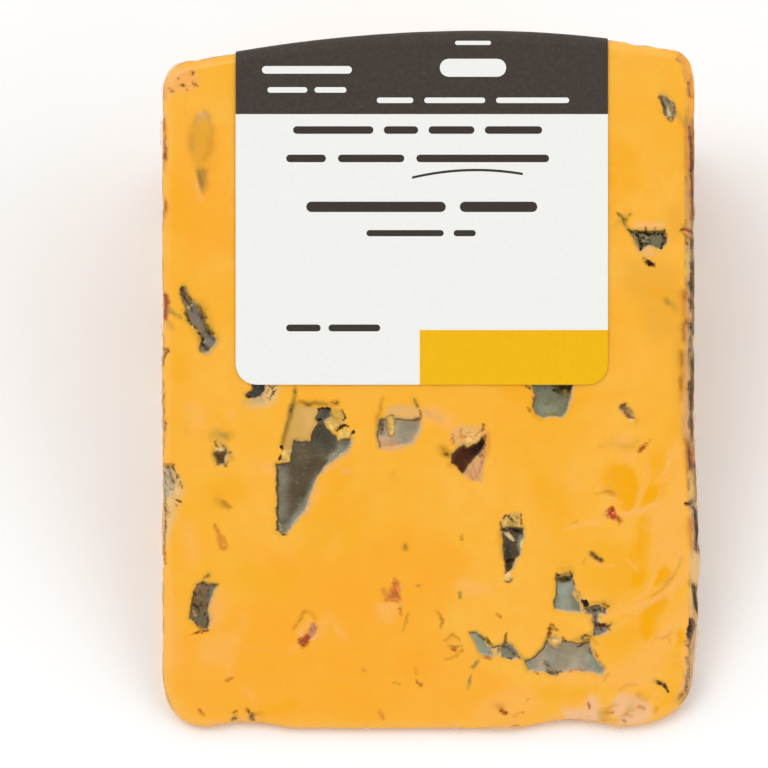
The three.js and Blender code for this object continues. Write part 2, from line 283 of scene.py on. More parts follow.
# The long pocket in the middle, with a ledge of tan paste over its top
LONG_POCKET = (
    tint("tan", 0.95, 0.2, [(-202,475),(-190,468),(-160,465),(-163,452),(-170,433),(-174,418),(-199,418),
        (-204,389),(-215,386),(-217,412),(-210,439),(-206,462)], relief=-0.35),
    *tints("beige", 0.6, 0.6, [(-186,464),(-164,464),(-173,431),(-184,433)]),
    *tints("ochre", 0.5, 0.5, [(-203,468,6),(-209,433,7),(-213,410,6)], [(-196,471,4),(-164,473,6),
        (-135,471,4)]),
    tint("tan", 0.9, 0.25, [(-147,464),(-129,464),(-124,451),(-129,439),(-141,433),(-155,448),(-147,454)],
        relief=-0.3),
    mould("driftwood", 0.08, -1.5, [(-155,447),(-151,438),(-137,425),(-134,419),(-116,420),(-116,413),
        (-124,402),(-135,394),(-145,387),(-157,377),(-164,367),(-173,345),(-178,331),(-184,314),(-200,299),
        (-207,286),(-216,283),(-222,289),(-223,332),(-223,384),(-215,384),(-204,387),(-202,406),(-199,418),
        (-174,418),(-170,432),(-164,441),(-167,451),(-161,464),(-145,465),(-145,452)]),
    tone("dusk", 1.6, [(-202,376),(-164,405),(-158,387),(-181,332),(-202,315),(-207,347)]),
    tone("charcoal", 1.8, [(-165,428),(-151,431),(-142,413),(-150,405),(-167,407)]),
    tone("ash", 0.8, [(-222,381),(-210,379),(-213,303),(-222,292)]),
    tone("lichen", 0.5, [(-213,283),(-196,303),(-183,312),(-170,347),(-155,376),(-164,370),(-181,338),
        (-190,321),(-210,298),(-222,292)]),
    tone("lichen", 0.4, [(-135,419),(-115,419),(-122,402),(-147,389),(-152,393),(-138,405)]),
    tone("mauve grey", 0.3, [(-167,451),(-161,465),(-144,465),(-145,452),(-155,447),(-164,439)]),
    # Umber lines round its edge, mostly on its left and upper edges: partly dark rims of mould, partly
    # painted shade of its upper-left walls
    *marks("umber", 0.1, [(-223,381,3),(-223,335,2),(-222,289,3)], [(-216,282,3),(-207,283,3)], [(-199,418,2),
        (-176,418,2)], [(-174,419,2),(-170,433,2),(-164,441,2)]),
    *tints("dark olive", 0.7, 0.4, [(-196,494,4),(-199,474,6),(-204,454,5),(-210,433,5),(-216,416,5)],
        [(-189,474,3),(-178,471,5),(-167,474,5),(-152,471,3)], [(-144,475,3),(-137,473,5)]),
    *marks("umber", 0.3, [(-197,490,3)], [(-202,470,2),(-203,461,3)], [(-181,471,3),(-176,470,2)],
        [(-138,473,3)]),
    *marks("black", 0.12, [(-217,410,5),(-215,405,3)], [(-217,397,3),(-219,390,4)], [(-163,464,3),
        (-147,465,4),(-145,460,2)], [(-165,448,3),(-160,449,3)], [(-135,432,5),(-129,439,6),(-121,439,3)],
        [(-118,425,2),(-112,431,5)], [(-129,464,2),(-125,454,3),(-128,448,2)]),
    mark("straw", 0.12, [(-215,407),(-203,407),(-207,389),(-213,386),(-216,397)], relief=0.4),
    mark("straw", 0.2, [(-196,419,2),(-178,418,2),(-174,422,2)]),
    mark("straw", 0.1, [(-155,449),(-138,442),(-135,435),(-142,431),(-152,439)], relief=0.5),
    mark("straw", 0.1, [(-135,423),(-129,433),(-122,436),(-113,426),(-125,422)], relief=0.5),
    mark("mustard", 0.12, [(-145,461),(-132,462),(-129,452),(-139,447),(-145,454)], relief=0.3),
    # Pale-stone lines down its lower-right edge: partly pale mould, partly painted light on its lower-right
    # wall
    *marks("pale stone", 0.25, [(-115,418,3),(-118,409,4),(-128,399,4),(-138,393,3),(-148,386,4),
        (-158,374,2)], [(-177,329,2),(-186,315,3),(-196,302,3),(-206,290,3)]),
    *marks("cream", 0.12, [(-132,397,3),(-125,403,3)], [(-154,381,2),(-147,389,3)], [(-190,308,2),
        (-181,321,2)], [(-219,298,1),(-216,289,2)], [(-209,288,2)]),
    *tints("salmon", 0.7, 0.4, [(-152,373,5),(-135,387,3),(-115,402,3)], [(-181,315,5),(-173,332,6),
        (-164,353,3)], [(-125,373,7),(-118,373,5)]),
)

# A shallow hollow of pale mould beside it
SHALLOW_HOLLOW = (
    tint("beige", 0.9, 0.3, [(-66,467),(-46,470),(-21,468),(-15,451),(-34,448),(-66,448)], relief=-0.35),
    mould("pale stone", 0.6, -0.5, [(-74,448),(-66,449),(-17,449),(-17,431),(-27,415),(-48,409),(-74,409),
        (-77,428)]),
    tone("warm stone", 0.6, [(-50,447),(-18,447),(-20,428),(-34,413),(-48,416)]),
    tone("ash", 0.6, [(-40,445),(-22,442),(-25,431),(-38,428)]),
    tone("pink clay", 0.8, [(-76,423),(-53,419),(-46,405),(-76,405)]),
    *tints("ochre", 0.7, 0.4, [(-69,481,3),(-74,465,6),(-79,451,5),(-77,419,3)]),
    mark("umber", 0.4, [(-72,447,6),(-72,436,6),(-72,429,3)]),
    mark("tan", 0.15, [(-59,448,10),(-59,431,10)], relief=0.4),
    mark("khaki", 0.15, [(-59,448,13),(-59,431,13)], ring=0.12),
    *marks("warm umber", 0.25, [(-24,478,3),(-20,468,4)], [(-18,462,3),(-15,452,3)], [(-27,449,2),
        (-18,451,3)], [(-41,448,1),(-30,447,1)]),
    *tints("mauve grey", 0.35, 0.6, [(-11,460,6),(7,454,7)]),
    *tints("salmon", 0.5, 0.5, [(-69,405,6),(-40,406,6)], [(-15,442,4),(-22,422,3)]),
)

# A deep hole with lumps of paste heaped over it
DEEP_HOLE = (
    tint("lifted", 0.75, 0.8, [(-17,465),(7,468),(30,454),(38,442),(24,433),(7,442),(-17,448)], relief=-0.2),
    *tints("ash", 0.35, 0.7, [(-8,460,6),(4,454,7),(15,449,6)]),
    tint("beige", 0.85, 0.4, [(27,433),(44,442),(76,438),(79,425),(64,413),(50,410),(33,410),(27,419)],
        relief=-0.15),
    tint("tan clay", 0.9, 0.3, [(54,381),(70,396),(79,407),(76,381),(73,358),(54,361),(47,370)],
        relief=-0.45),
    mould("hole brown", 0.05, -3.0, [(31,400),(46,412),(53,409),(64,413),(74,422),(77,415),(72,402),(63,392),
        (54,381),(47,370),(40,376),(38,380),(30,386)]),
    tone("plum", 0.35, [(56,407),(76,422),(77,413),(70,400),(60,396)]),
    tone("rust", 0.3, [(30,392,5),(33,381,5),(40,376,3)]),
    mark("beige", 0.2, [(46,431),(61,433),(73,428),(67,418),(53,413),(47,420)], relief=0.5),
    *marks("terracotta", 0.35, [(30,425,2),(31,415,4)], [(44,433,2),(43,422,3)], [(50,423,1),(64,426,2),
        (73,433,2)]),
    *marks("brown", 0.2, [(76,442,3),(74,433,2)], [(77,425,3),(76,410,3),(70,396,2)]),
    *marks("rose", 0.25, [(59,387,1),(64,373,3),(67,361,1)], [(76,402,2),(72,381,3),(69,370,1)], [(51,376,1),
        (59,364,2)]),
    *tints("copper", 0.6, 0.5, [(80,428,6),(82,410,6),(79,396,4)], [(56,376,3),(60,361,3)]),
    *tints("ochre", 0.75, 0.5, [(15,410,7),(21,400,12)], [(25,383,3),(31,381,3)]),
    mark("dark olive", 0.3, [(20,400,3),(24,397,4)]),
)

# A narrow slit: a dark floor, a broken ledge across its top and a crumb at its lower end
SLIT = (
    tint("tan", 0.9, 0.25, [(102,303),(106,311),(115,315),(129,314),(132,289),(102,288)], relief=-0.3),
    mould("bark", 0.1, -1.4, [(102,290),(116,292),(132,292),(134,279),(129,266),(128,253),(121,246),(116,231),
        (108,228),(105,251),(103,282)]),
    tone("warm umber", 0.5, [(106,246),(119,246),(116,231),(108,228)]),
    tone("charcoal", 0.6, [(105,266),(113,269),(112,251),(105,249)]),
    tone("lichen", 0.25, [(128,286),(134,283),(131,266),(126,257),(124,263)]),
    *marks("black", 0.12, [(108,244,4),(118,246,4)], [(100,289,4),(111,289,3)], [(116,290,3),(128,288,5),
        (131,283,2)], [(105,306,3),(109,312,2)], [(129,312,2),(131,298,3)]),
    *marks("umber", 0.15, [(112,312,2),(116,303,3),(122,299,2)], [(100,301,3),(100,293,3)], [(122,309,2),
        (126,305,2)]),
    *marks("khaki", 0.15, [(106,290,3),(116,292,3)], [(111,299,3),(118,295,2)]),
    mark("cream", 0.1, [(103,285),(113,285),(124,273),(119,272),(109,279)], relief=0.7),
    *marks("cream", 0.1, [(105,296,3),(108,302,2)], [(126,296,3)], [(131,276,2),(129,263,2)], [(106,262,1)],
        [(115,257,1)]),
    mark("cream", 0.2, [(111,224,6),(112,220,6)], relief=0.2),
    mark("umber", 0.25, [(108,215,3),(113,214,3),(116,220,2)]),
    *tints("ochre", 0.5, 0.5, [(99,283,4),(102,251,4)]),
)

# Low on the right: a sage pocket, a broken vein and a broad pale pocket with torn edges
LOWER_RIGHT_POCKETS = (
    tint("tan", 0.85, 0.25, [(209,199),(219,197),(222,184),(217,172),(210,185)]),
    mould("pale sage", 0.1, -0.8, [(180,221),(203,223),(206,205),(204,195),(216,182),(216,169),(194,172),
        (178,175),(177,184),(181,195)]),
    tone("ash", 0.6, [(197,205),(206,197),(216,179),(215,169),(200,173)]),
    # A dark olive band and black cracks along its top edge: partly mould, partly painted shade of its upper
    # wall
    tone("dark olive", 0.25, [(180,223),(204,223),(202,215),(191,212),(181,215)]),
    *marks("black", 0.12, [(181,225,4),(187,220,3)], [(190,224,3),(196,218,4)], [(200,228,3),(204,221,3)]),
    *marks("khaki", 0.2, [(184,221,3),(193,225,4),(203,227,3)], [(204,211,2),(209,199,3),(212,191,2)]),
    *marks("plum", 0.15, [(204,217,2),(207,207,3)], [(210,202,2),(215,197,2)]),
    mark("black", 0.1, [(217,191),(225,188),(229,179),(222,179),(217,186)]),
    mould("warm ash", 0.15, -0.6, [(219,175),(229,178),(243,179),(254,176),(252,169),(242,168),(241,156),
        (251,150),(259,153),(255,144),(245,137),(236,137),(235,150),(232,165),(223,169)]),
    tone("taupe", 0.4, [(229,178),(252,176),(249,169),(235,166)]),
    *marks("black", 0.12, [(220,176,2),(229,172,3)], [(233,176,2),(239,171,2)], [(249,176,2),(251,169,3)],
        [(236,162,2),(238,153,2)]),
    *marks("umber", 0.12, [(226,175,2),(230,169,2),(236,171,2)], [(242,175,2),(246,172,2)], [(235,156,2),
        (239,146,2)], [(243,147,2),(248,143,2)], [(238,140,2)]),
    *marks("straw", 0.1, [(242,165),(249,165),(249,158),(241,158)], [(222,173,3),(226,171,2)], [(254,156,2)],
        [(229,182,2),(235,181,2)], [(245,179,2),(249,173,2)], [(238,168,2)], [(233,163,2),(235,159,2)],
        [(210,205,2),(213,198,2)]),
    mark("maroon", 0.12, [(242,153,5),(249,152,6)]),
    *marks("brown", 0.2, [(248,182,2),(256,179,3)], [(252,149,2),(258,147,2)]),
    *tints("olive", 0.6, 0.4, [(232,184,4),(249,184,4)]),
    # The row of small greys along the lower edge
    mould("pale sage", 0.2, -0.5, [(56,140),(66,140),(74,133),(82,121),(90,114),(86,107),(73,107),(67,117),
        (61,130)]),
    mould("pale stone", 0.3, -0.3, [(83,118),(99,121),(100,110),(87,105)]),
    mould("ash", 0.15, -0.8, [(100,118),(106,126),(118,121),(129,107),(116,101),(103,105)]),
    *marks("dark olive", 0.25, [(67,137,3),(79,131,5),(86,123,4)], [(103,121,2),(113,116,3)], [(119,111,2),
        (128,105,2)]),
    *marks("umber", 0.12, [(85,118,2),(89,111,2)], [(96,120,2),(100,113,2)], [(106,105,2),(115,103,3)]),
    mark("brown", 0.2, [(108,140,3),(106,130,4),(105,124,2)]),
    mark("straw", 0.12, [(86,117),(96,118),(98,110),(89,108)], relief=0.2),
    *marks("rust", 0.25, [(76,105,3),(86,104,3)]),
    tint("khaki", 0.8, 0.35, [(126,108,3),(137,101,4),(145,101,4),(157,113,3),(165,127,5),(170,139,5)]),
    mould("pale stone", 0.1, -0.8, [(135,100),(150,104),(161,116),(168,129),(180,120),(190,129),(200,127),
        (216,124),(229,126),(235,107),(251,88),(248,79),(230,84),(207,87),(189,85),(176,79),(161,85),
        (139,87)]),
    tone("warm stone", 0.9, [(161,113),(189,124),(226,118),(229,98),(186,90),(164,90)]),
    tone("ash", 0.6, [(168,116),(186,118),(189,107),(177,92),(167,95)]),
    tone("pale sage", 0.5, [(226,111),(235,104),(249,88),(246,81),(232,85),(220,90)]),
    tone("lichen", 0.4, [(135,101),(147,104),(154,92),(139,85)]),
    *marks("dark olive", 0.3, [(168,85,5),(178,82,5),(187,85,3)], [(164,98,2),(170,91,3)]),
    mark("tan", 0.15, [(170,134),(181,139),(189,134),(187,126),(180,118),(171,123)], relief=0.7),
    mark("cream", 0.15, [(177,130,5),(181,127,3)], relief=0.3),
    mark("brown", 0.25, [(168,130,3),(171,144,6),(174,152,3),(181,144,3)]),
    *marks("umber", 0.2, [(189,134,3),(194,129,3)], [(210,121,2),(220,123,3),(228,127,2)], [(215,130,3),
        (222,136,4),(230,134,3)], [(228,116,2),(232,107,2)]),
    mark("khaki", 0.2, [(219,129,5),(226,130,4)]),
    *tints("olive", 0.55, 0.4, [(209,130,6),(229,139,6),(239,124,4)]),
    *marks("terracotta", 0.2, [(200,85,2),(212,88,3),(223,85,2)], [(235,116,2),(241,104,2)], [(243,100,2),
        (249,92,2)], [(147,85,1),(155,82,2)]),
)

# Small pockets: under the label's right corner, high on the right, and near its own edge
RIGHT_POCKETS = (
    tint("beige", 0.6, 0.4, [(141,500),(157,500),(154,487),(147,483)]),
    mould("moss grey", 0.2, -0.7, [(145,503),(203,503),(202,483),(197,464),(190,452),(174,452),(161,451),
        (152,457),(148,468),(150,483)]),
    tone("moss", 0.7, [(152,471),(174,474),(194,477),(191,454),(160,451)]),
    tone("dark olive", 0.4, [(171,501),(203,501),(202,486),(186,483)]),
    *marks("black", 0.2, [(186,494,5),(197,494,6),(202,499,3)], [(176,491,3),(183,487,3)]),
    *marks("brown", 0.25, [(137,497,3),(142,493,4)], [(145,483,2),(147,478,2)], [(139,465,2),(144,462,3)],
        [(165,474,2),(171,471,2)]),
    *marks("khaki", 0.3, [(193,490,4),(199,480,4)], [(163,457,2),(180,455,3)]),
    *tints("salmon", 0.5, 0.4, [(206,497,3),(203,474,3)]),
    mould("khaki grey", 0.25, -0.6, [(284,722),(306,721),(322,720),(337,720),(339,704),(332,694),(319,699),
        (310,698),(301,694),(294,707)]),
    tone("moss grey", 0.5, [(310,711),(332,714),(333,699),(316,698)]),
    *marks("black", 0.12, [(288,721,3),(298,715,4),(303,702,5),(301,695,3)], [(298,720,3),(313,717,5),
        (322,718,3)], [(306,711,3),(316,708,3)], [(333,717,4),(337,708,4),(332,696,4)], [(323,715,2),
        (330,717,3)], [(309,701,3),(316,704,2)]),
    *marks("maroon", 0.2, [(336,722,4),(340,714,3),(337,705,3)], [(309,727,2),(310,722,3)], [(323,725,2),
        (323,721,2)]),
    *tints("blush", 0.6, 0.6, [(296,730,6),(316,728,7),(333,730,6)], [(301,696,5),(316,691,6)]),
    *marks("straw", 0.1, [(293,717,2),(297,711,2)], [(310,711,2)], [(307,705,2)]),
    tint("khaki", 0.7, 0.4, [(269,747,3),(278,737,6),(284,724,5)]),
    *marks("dark olive", 0.2, [(271,746,2),(278,738,3),(280,731,2)], [(287,744,2),(281,737,2)]),
    tint("beige", 0.55, 0.5, [(298,691,6),(316,688,12),(330,691,6)]),
    mark("dark maroon", 0.2, [(309,678,4),(316,673,8),(322,672,5)], relief=-0.3),
    *marks("khaki", 0.3, [(306,681,4),(310,678,3)]),
    mould("bark", 0.5, -0.35, [(278,467,6),(287,457,10)]),
    mark("tan", 0.2, [(284,461,5),(290,457,3)]),
    *marks("brown", 0.15, [(275,470,3),(281,473,2)], [(278,460,3),(284,452,3),(293,452,3)]),
    *marks("cream", 0.15, [(285,449,2),(291,449,2)]),
    *tints("pink clay", 0.5, 0.4, [(274,464,5),(278,455,3)]),
    *tints("ochre", 0.5, 0.5, [(297,449,3),(294,438,3)]),
    *marks("rust", 0.3, [(301,402,3),(307,409,5),(310,412,3)], [(309,412,1),(316,419,1)]),
    *tints("rusty", 0.6, 0.4, [(301,405,6),(310,413,6)]),
    tint("tan", 0.5, 0.6, [(336,919,14),(350,893,14)]),
    mould("ash", 0.4, -0.3, [(332,916),(342,913),(348,905),(353,887),(346,883),(336,893)]),
    *marks("umber", 0.2, [(329,915,3),(333,909,5),(337,899,4),(339,890,3)], [(340,912,2),(349,906,2),
        (352,893,3),(349,883,3)], [(342,886,2),(346,881,3)]),
    *marks("khaki", 0.3, [(343,905,3),(346,894,3)]),
    *marks("cream", 0.2, [(342,900,3),(345,890,3)]),
)

# Small pockets on the left
LEFT_POCKETS = (
    mould("taupe", 0.5, -0.5, [(-359,636,6),(-355,621,7),(-346,608,17),(-340,595,20),(-333,582,13),
        (-326,572,14),(-322,561,20),(-326,552,16)]),
    tone("mauve grey", 0.5, [(-343,601,13),(-339,590,13)]),
    tone("mauve grey", 0.5, [(-322,562,13),(-326,555,7)]),
    *marks("ink", 0.25, [(-361,640,4),(-358,627,3),(-350,617,3),(-346,607,3)], [(-355,603,3),(-349,588,4),
        (-340,579,3)], [(-337,575,3),(-330,566,4),(-330,555,5),(-323,551,3)], [(-335,603,3),(-329,591,3),
        (-323,577,4),(-316,565,3)]),
    *marks("dark olive", 0.35, [(-356,633,3),(-349,620,5)], [(-336,610,5),(-327,595,5)], [(-324,585,5),
        (-317,574,5)]),
    *marks("cream", 0.15, [(-352,610,3),(-346,613,2)], [(-345,582,3)], [(-327,562,2)]),
    mark("maroon", 0.25, [(-327,585,3),(-323,579,2)]),
    tint("khaki", 0.5, 0.5, [(-358,642,6),(-349,618,9)]),
    mould("charcoal", 0.25, -0.5, [(-259,503),(-241,503),(-241,491),(-245,481),(-254,478),(-265,481),
        (-269,486),(-259,490)]),
    *marks("black", 0.14, [(-238,499,2),(-230,494,3),(-225,499,2)], [(-226,491,3),(-232,481,2)],
        [(-239,486,2),(-235,493,2)], [(-268,483,3),(-262,481,3)], [(-233,477,2),(-238,480,1)],
        [(-245,478,2)]),
    *tints("pale rind", 0.8, 0.5, [(-241,500),(-220,500),(-223,477),(-239,465),(-259,467),(-265,474),
        (-245,477)]),
    *tints("sage", 0.4, 0.6, [(-271,474,6),(-245,475,7)]),
    mould("warm umber", 0.25, -0.5, [(-314,400),(-307,400),(-297,406),(-294,403),(-298,393),(-297,384),
        (-309,383),(-311,392)]),
    *tints("tan", 0.75, 0.5, [(-307,418,10),(-300,409,9)], [(-291,402,5),(-293,390,4)]),
    *tints("khaki", 0.55, 0.6, [(-307,431,5),(-300,425,5)], [(-316,405,4),(-313,390,3)]),
    *marks("umber", 0.2, [(-309,396,5),(-303,387,4)], [(-298,400,3)]),
    *marks("umber", 0.2, [(-313,415,3),(-307,406,3),(-310,400,2)], [(-303,413,2),(-297,407,2)], [(-294,399,2),
        (-288,402,2)], [(-293,387,2),(-297,381,3)]),
    mark("cream", 0.15, [(-309,407,5),(-301,405,3)], relief=0.15),
    *tints("khaki", 0.5, 0.4, [(-298,425,5),(-294,419,4)], [(-290,396,4),(-287,390,3)]),
    mould("walnut", 0.25, -0.6, [(-339,210),(-330,214),(-322,211),(-310,211),(-314,201),(-319,189),(-322,175),
        (-319,159),(-322,147),(-329,143),(-336,149),(-349,162),(-349,173),(-345,192)]),
    tone("walnut", 1.0, [(-340,210),(-327,211),(-329,194),(-333,176),(-345,176),(-345,192)]),
    tone("driftwood", 0.6, [(-348,172),(-335,175),(-326,168),(-327,150),(-337,150),(-348,162)]),
    tone("moss grey", 0.5, [(-316,205,6),(-320,188,6)]),
    *marks("ink", 0.2, [(-345,182,3),(-337,178,4),(-336,172,2)], [(-333,184,2),(-330,176,1)], [(-342,197,2),
        (-340,189,1)], [(-324,162,2),(-322,153,2)], [(-330,212,2),(-323,208,2)], [(-346,163,2),(-340,155,2),
        (-335,147,2)], [(-326,171,2),(-329,163,2)], [(-322,202,2),(-323,194,2)]),
    *marks("umber", 0.2, [(-340,169,2),(-335,165,2)], [(-332,158,2)], [(-324,182,2),(-322,176,2)],
        [(-337,202,2),(-333,194,2)], [(-345,171,2)], [(-323,156,2),(-326,147,2)]),
    *marks("straw", 0.15, [(-320,173,3),(-319,165,3),(-320,159,2)], [(-345,172,2),(-342,166,2)],
        [(-326,217,3),(-322,212,2)]),
    *marks("rose", 0.25, [(-337,208,3),(-340,201,3)]),
    mark("dark olive", 0.3, [(-326,221,3),(-322,224,3)]),
    *marks("brown", 0.15, [(-346,139,2),(-336,142,3),(-323,143,3)]),
    tint("salmon", 0.5, 0.5, [(-316,197,6),(-314,171,9),(-316,150,6)]),
)

# Rusty flecks and short fine cracks
FLECKS = (
    *tints("rusty", 0.7, 0.4, [(-313,292,4),(-307,280,7),(-303,273,9)], [(-69,202,9),(-63,191,9),
        (-51,199,9)]),
    tint("rusty", 0.8, 0.3, [(-303,275,10),(-300,266,9)], ring=0.2),
    *marks("rusty", 0.3, [(-314,295,3),(-309,285,3)], [(-306,264,3),(-298,263,3)]),
    *tints("lifted", 0.7, 0.5, [(-193,142,6),(-181,150,9),(-176,159,6)], [(-164,136,7),(-150,171,6)],
        [(-207,113,6),(-196,121,6)]),
    *tints("ochre", 0.6, 0.4, [(-199,147,2),(-190,165,3),(-181,173,4),(-171,168,3),(-167,160,2)]),
    mark("rose", 0.3, [(-180,139),(-176,147),(-174,155),(-170,158),(-165,149),(-167,140),(-174,133)],
        relief=-0.15),
    mark("brick", 0.3, [(-194,130),(-189,133),(-180,140),(-174,134),(-178,126),(-186,118),(-191,123)],
        relief=-0.25),
    mark("maroon", 0.4, [(-190,129,3),(-184,126,3)]),
    *marks("blush", 0.2, [(-173,131,3),(-168,133,3),(-167,137,2)], [(-190,137,2),(-184,142,2)]),
    *tints("lifted", 0.7, 0.6, [(-80,179,9),(-57,176,14)]),
    mark("copper", 0.35, [(-59,205),(-53,220),(-44,211),(-46,199),(-41,188),(-50,184),(-61,188),(-67,185),
        (-63,197)], relief=-0.2),
    *marks("terracotta", 0.3, [(-53,214,4),(-54,202,5),(-47,194,3)], [(-66,188,2),(-60,194,2)]),
    *marks("terracotta", 0.3, [(-46,176,3),(-44,166,2)]),
    *marks("beige", 0.2, [(-47,210,2),(-41,207,2)], [(-48,182,3),(-43,179,2)]),
    *tints("copper", 0.8, 0.4, [(267,305,7),(274,302,6)], [(252,311,3)]),
    mark("scarlet", 0.25, [(252,316),(256,322),(262,324),(265,318),(267,312),(271,305),(262,302),(256,308)],
        relief=-0.3),
    mark("terracotta", 0.3, [(267,309),(272,308),(275,303),(272,296),(267,303)]),
    *marks("salmon", 0.15, [(262,314,1),(265,309,2)], [(259,309,1)], [(255,314,1)]),
    *marks("maroon", 0.25, [(256,316,3),(261,318,3)], [(267,305,1)]),
    *marks("umber", 0.3, [(230,256,4),(238,250,5),(245,246,6)]),
    *tints("khaki", 0.6, 0.4, [(232,253,7),(241,246,6)], [(61,91,5),(67,100,3)], [(-301,328,3),(-294,322,3)]),
    *tints("dark olive", 0.75, 0.4, [(-38,267,5),(-37,262,5)], [(232,256,5),(238,249,6),(246,244,5)]),
    *tints("ochre", 0.8, 0.4, [(-304,331,2),(-298,325,4),(-291,321,2)], [(339,623,5),(342,616,5)]),
    *marks("ochre", 0.35, [(-301,331,2),(-293,324,3)], [(43,280,4),(43,275,3)], [(-22,208,2),(-15,210,2)],
        [(-33,169,2),(-37,158,3),(-41,144,2)], [(9,171,3),(15,159,4),(14,149,3)], [(21,130,2),(30,139,2),
        (41,130,2)], [(21,103,2),(34,107,2),(44,114,2)], [(-54,68,2),(-47,66,2)], [(-24,90,2),(-22,81,2)],
        [(95,168,3),(99,163,3)], [(252,344,2),(259,344,2),(265,340,2)], [(-199,147,1),(-190,160,2),
        (-183,172,2)]),
    *marks("khaki", 0.3, [(41,199,3),(41,191,3)], [(60,91,5),(66,100,3)], [(57,77,3),(53,61,3)], [(24,121,1),
        (44,121,1)]),
    *marks("rust", 0.25, [(28,117,3),(33,116,5),(38,120,2)], [(100,30,6),(108,23,6)], [(-20,71,3),(-15,66,4)],
        [(226,40,3),(229,32,3)], [(255,26,2),(264,27,4)]),
    *tints("wet", 1.0, 0.5, [(-233,29,6),(-223,30,7)], [(-209,32,7),(-200,35,10),(-193,35,6)], [(-245,20,6)]),
    *tints("salmon", 0.5, 0.6, [(-265,14,6),(-256,12,6)]),
    *tints("ochre", 0.5, 0.6, [(90,36,7),(102,33,10)]),
    *marks("rust", 0.35, [(-335,30,2),(-330,23,3)], [(-296,72,2),(-290,75,3)], [(-267,32,2),(-264,27,2)]),
    *tints("ochre", 0.6, 0.5, [(-256,23,5),(-245,25,3)], [(-335,26,5)], [(-284,20,7)], [(-262,17,7)]),
    *marks("rusty", 0.4, [(-99,87,3),(-96,84,2)], [(-76,26,5),(-70,16,4)], [(119,20,3),(132,26,2)],
        [(138,46,3)], [(298,35,3),(307,32,4)], [(281,26,2),(290,20,2)]),
    *marks("umber", 0.25, [(115,4,3),(124,4,4)], [(-285,25,4),(-282,27,2)], [(-287,16,5),(-282,17,3)],
        [(-267,30,3),(-262,23,6),(-259,13,4)], [(-262,22,3),(-254,22,2)], [(-310,-7,2)], [(278,13,2),
        (281,12,2)]),
    mark("black", 0.2, [(326,69,3),(336,64,5),(343,53,2)], relief=-0.4),
    *tints("khaki", 0.5, 0.4, [(323,71,6),(333,65,7)]),
    *marks("brown", 0.3, [(-345,951,4),(-346,948,3)], [(-362,933,5),(-358,931,3)], [(-346,938,2),
        (-340,931,3)], [(-379,926,3),(-374,923,3)], [(-366,942,2)], [(-352,925,2)]),
)

# Where the rinds show along both edges of the face, with painted highlight and glints of the film down the
# right one
LEFT_EDGE = (
    *tints("rusty", 0.7, 0.5, [(-387,928,3),(-387,913,4)], [(-387,887,4),(-385,860,6),(-385,827,6),
        (-387,809,4)], [(-387,769,4),(-384,754,6),(-387,740,5)], [(-385,629,9),(-384,604,9)], [(-387,448,6),
        (-387,428,5)]),
    *marks("rust", 0.3, [(-387,884,2),(-387,867,3)], [(-385,858,3),(-387,844,4),(-387,827,5)], [(-385,763,3),
        (-384,751,4)], [(-385,629,6),(-384,617,8),(-387,595,6)]),
    *marks("maroon", 0.25, [(-385,840,3),(-385,824,3)], [(-388,551,3),(-381,549,5),(-387,540,5),(-388,529,4)],
        [(-388,743,2)], [(-385,610,3),(-384,601,3)]),
    *tints("khaki", 0.5, 0.5, [(-378,604,5),(-363,595,3)], [(-381,590,6),(-375,581,5)]),
    *marks("khaki", 0.3, [(-381,607,3),(-372,601,2),(-363,597,2)]),
    *marks("brown", 0.3, [(-389,506,2),(-389,483,3),(-388,460,3),(-389,448,2)], [(-385,442,5),(-388,432,3)],
        [(-388,423,3),(-389,402,3)], [(-388,384,4),(-381,381,7),(-374,381,5)]),
    tint("pale rind", 0.8, 0.9, [(-391,376),(-375,379),(-363,364),(-359,347),(-365,329),(-369,311),(-376,289),
        (-382,267),(-391,267)]),
    tint("ash", 0.75, 0.5, [(-391,379),(-378,379),(-368,361),(-375,341),(-391,332)]),
    *tints("cream", 0.8, 0.3, [(-384,364,3),(-378,347,3),(-375,332,2)], [(-384,318,2),(-384,298,3),
        (-387,280,2)], [(-372,353,2),(-366,341,2)]),
    *marks("umber", 0.15, [(-375,381,3),(-369,370,2),(-363,358,3),(-361,347,2)], [(-388,373,2),(-382,355,2),
        (-376,347,1)], [(-381,376,2),(-372,358,2)], [(-375,335,3),(-366,332,3),(-361,329,2)], [(-388,350,3),
        (-385,332,2)], [(-385,327,2),(-382,309,2)]),
    *marks("black", 0.12, [(-368,364,2),(-363,367,2)], [(-368,332,3),(-362,329,2)], [(-361,353,2)]),
    *marks("khaki", 0.2, [(-379,367,2),(-372,350,2)], [(-369,327,1),(-365,315,1)], [(-381,324,1),
        (-378,306,2)]),
    *marks("brown", 0.25, [(-386,332,2),(-385,303,3),(-386,267,3),(-385,240,2)]),
)
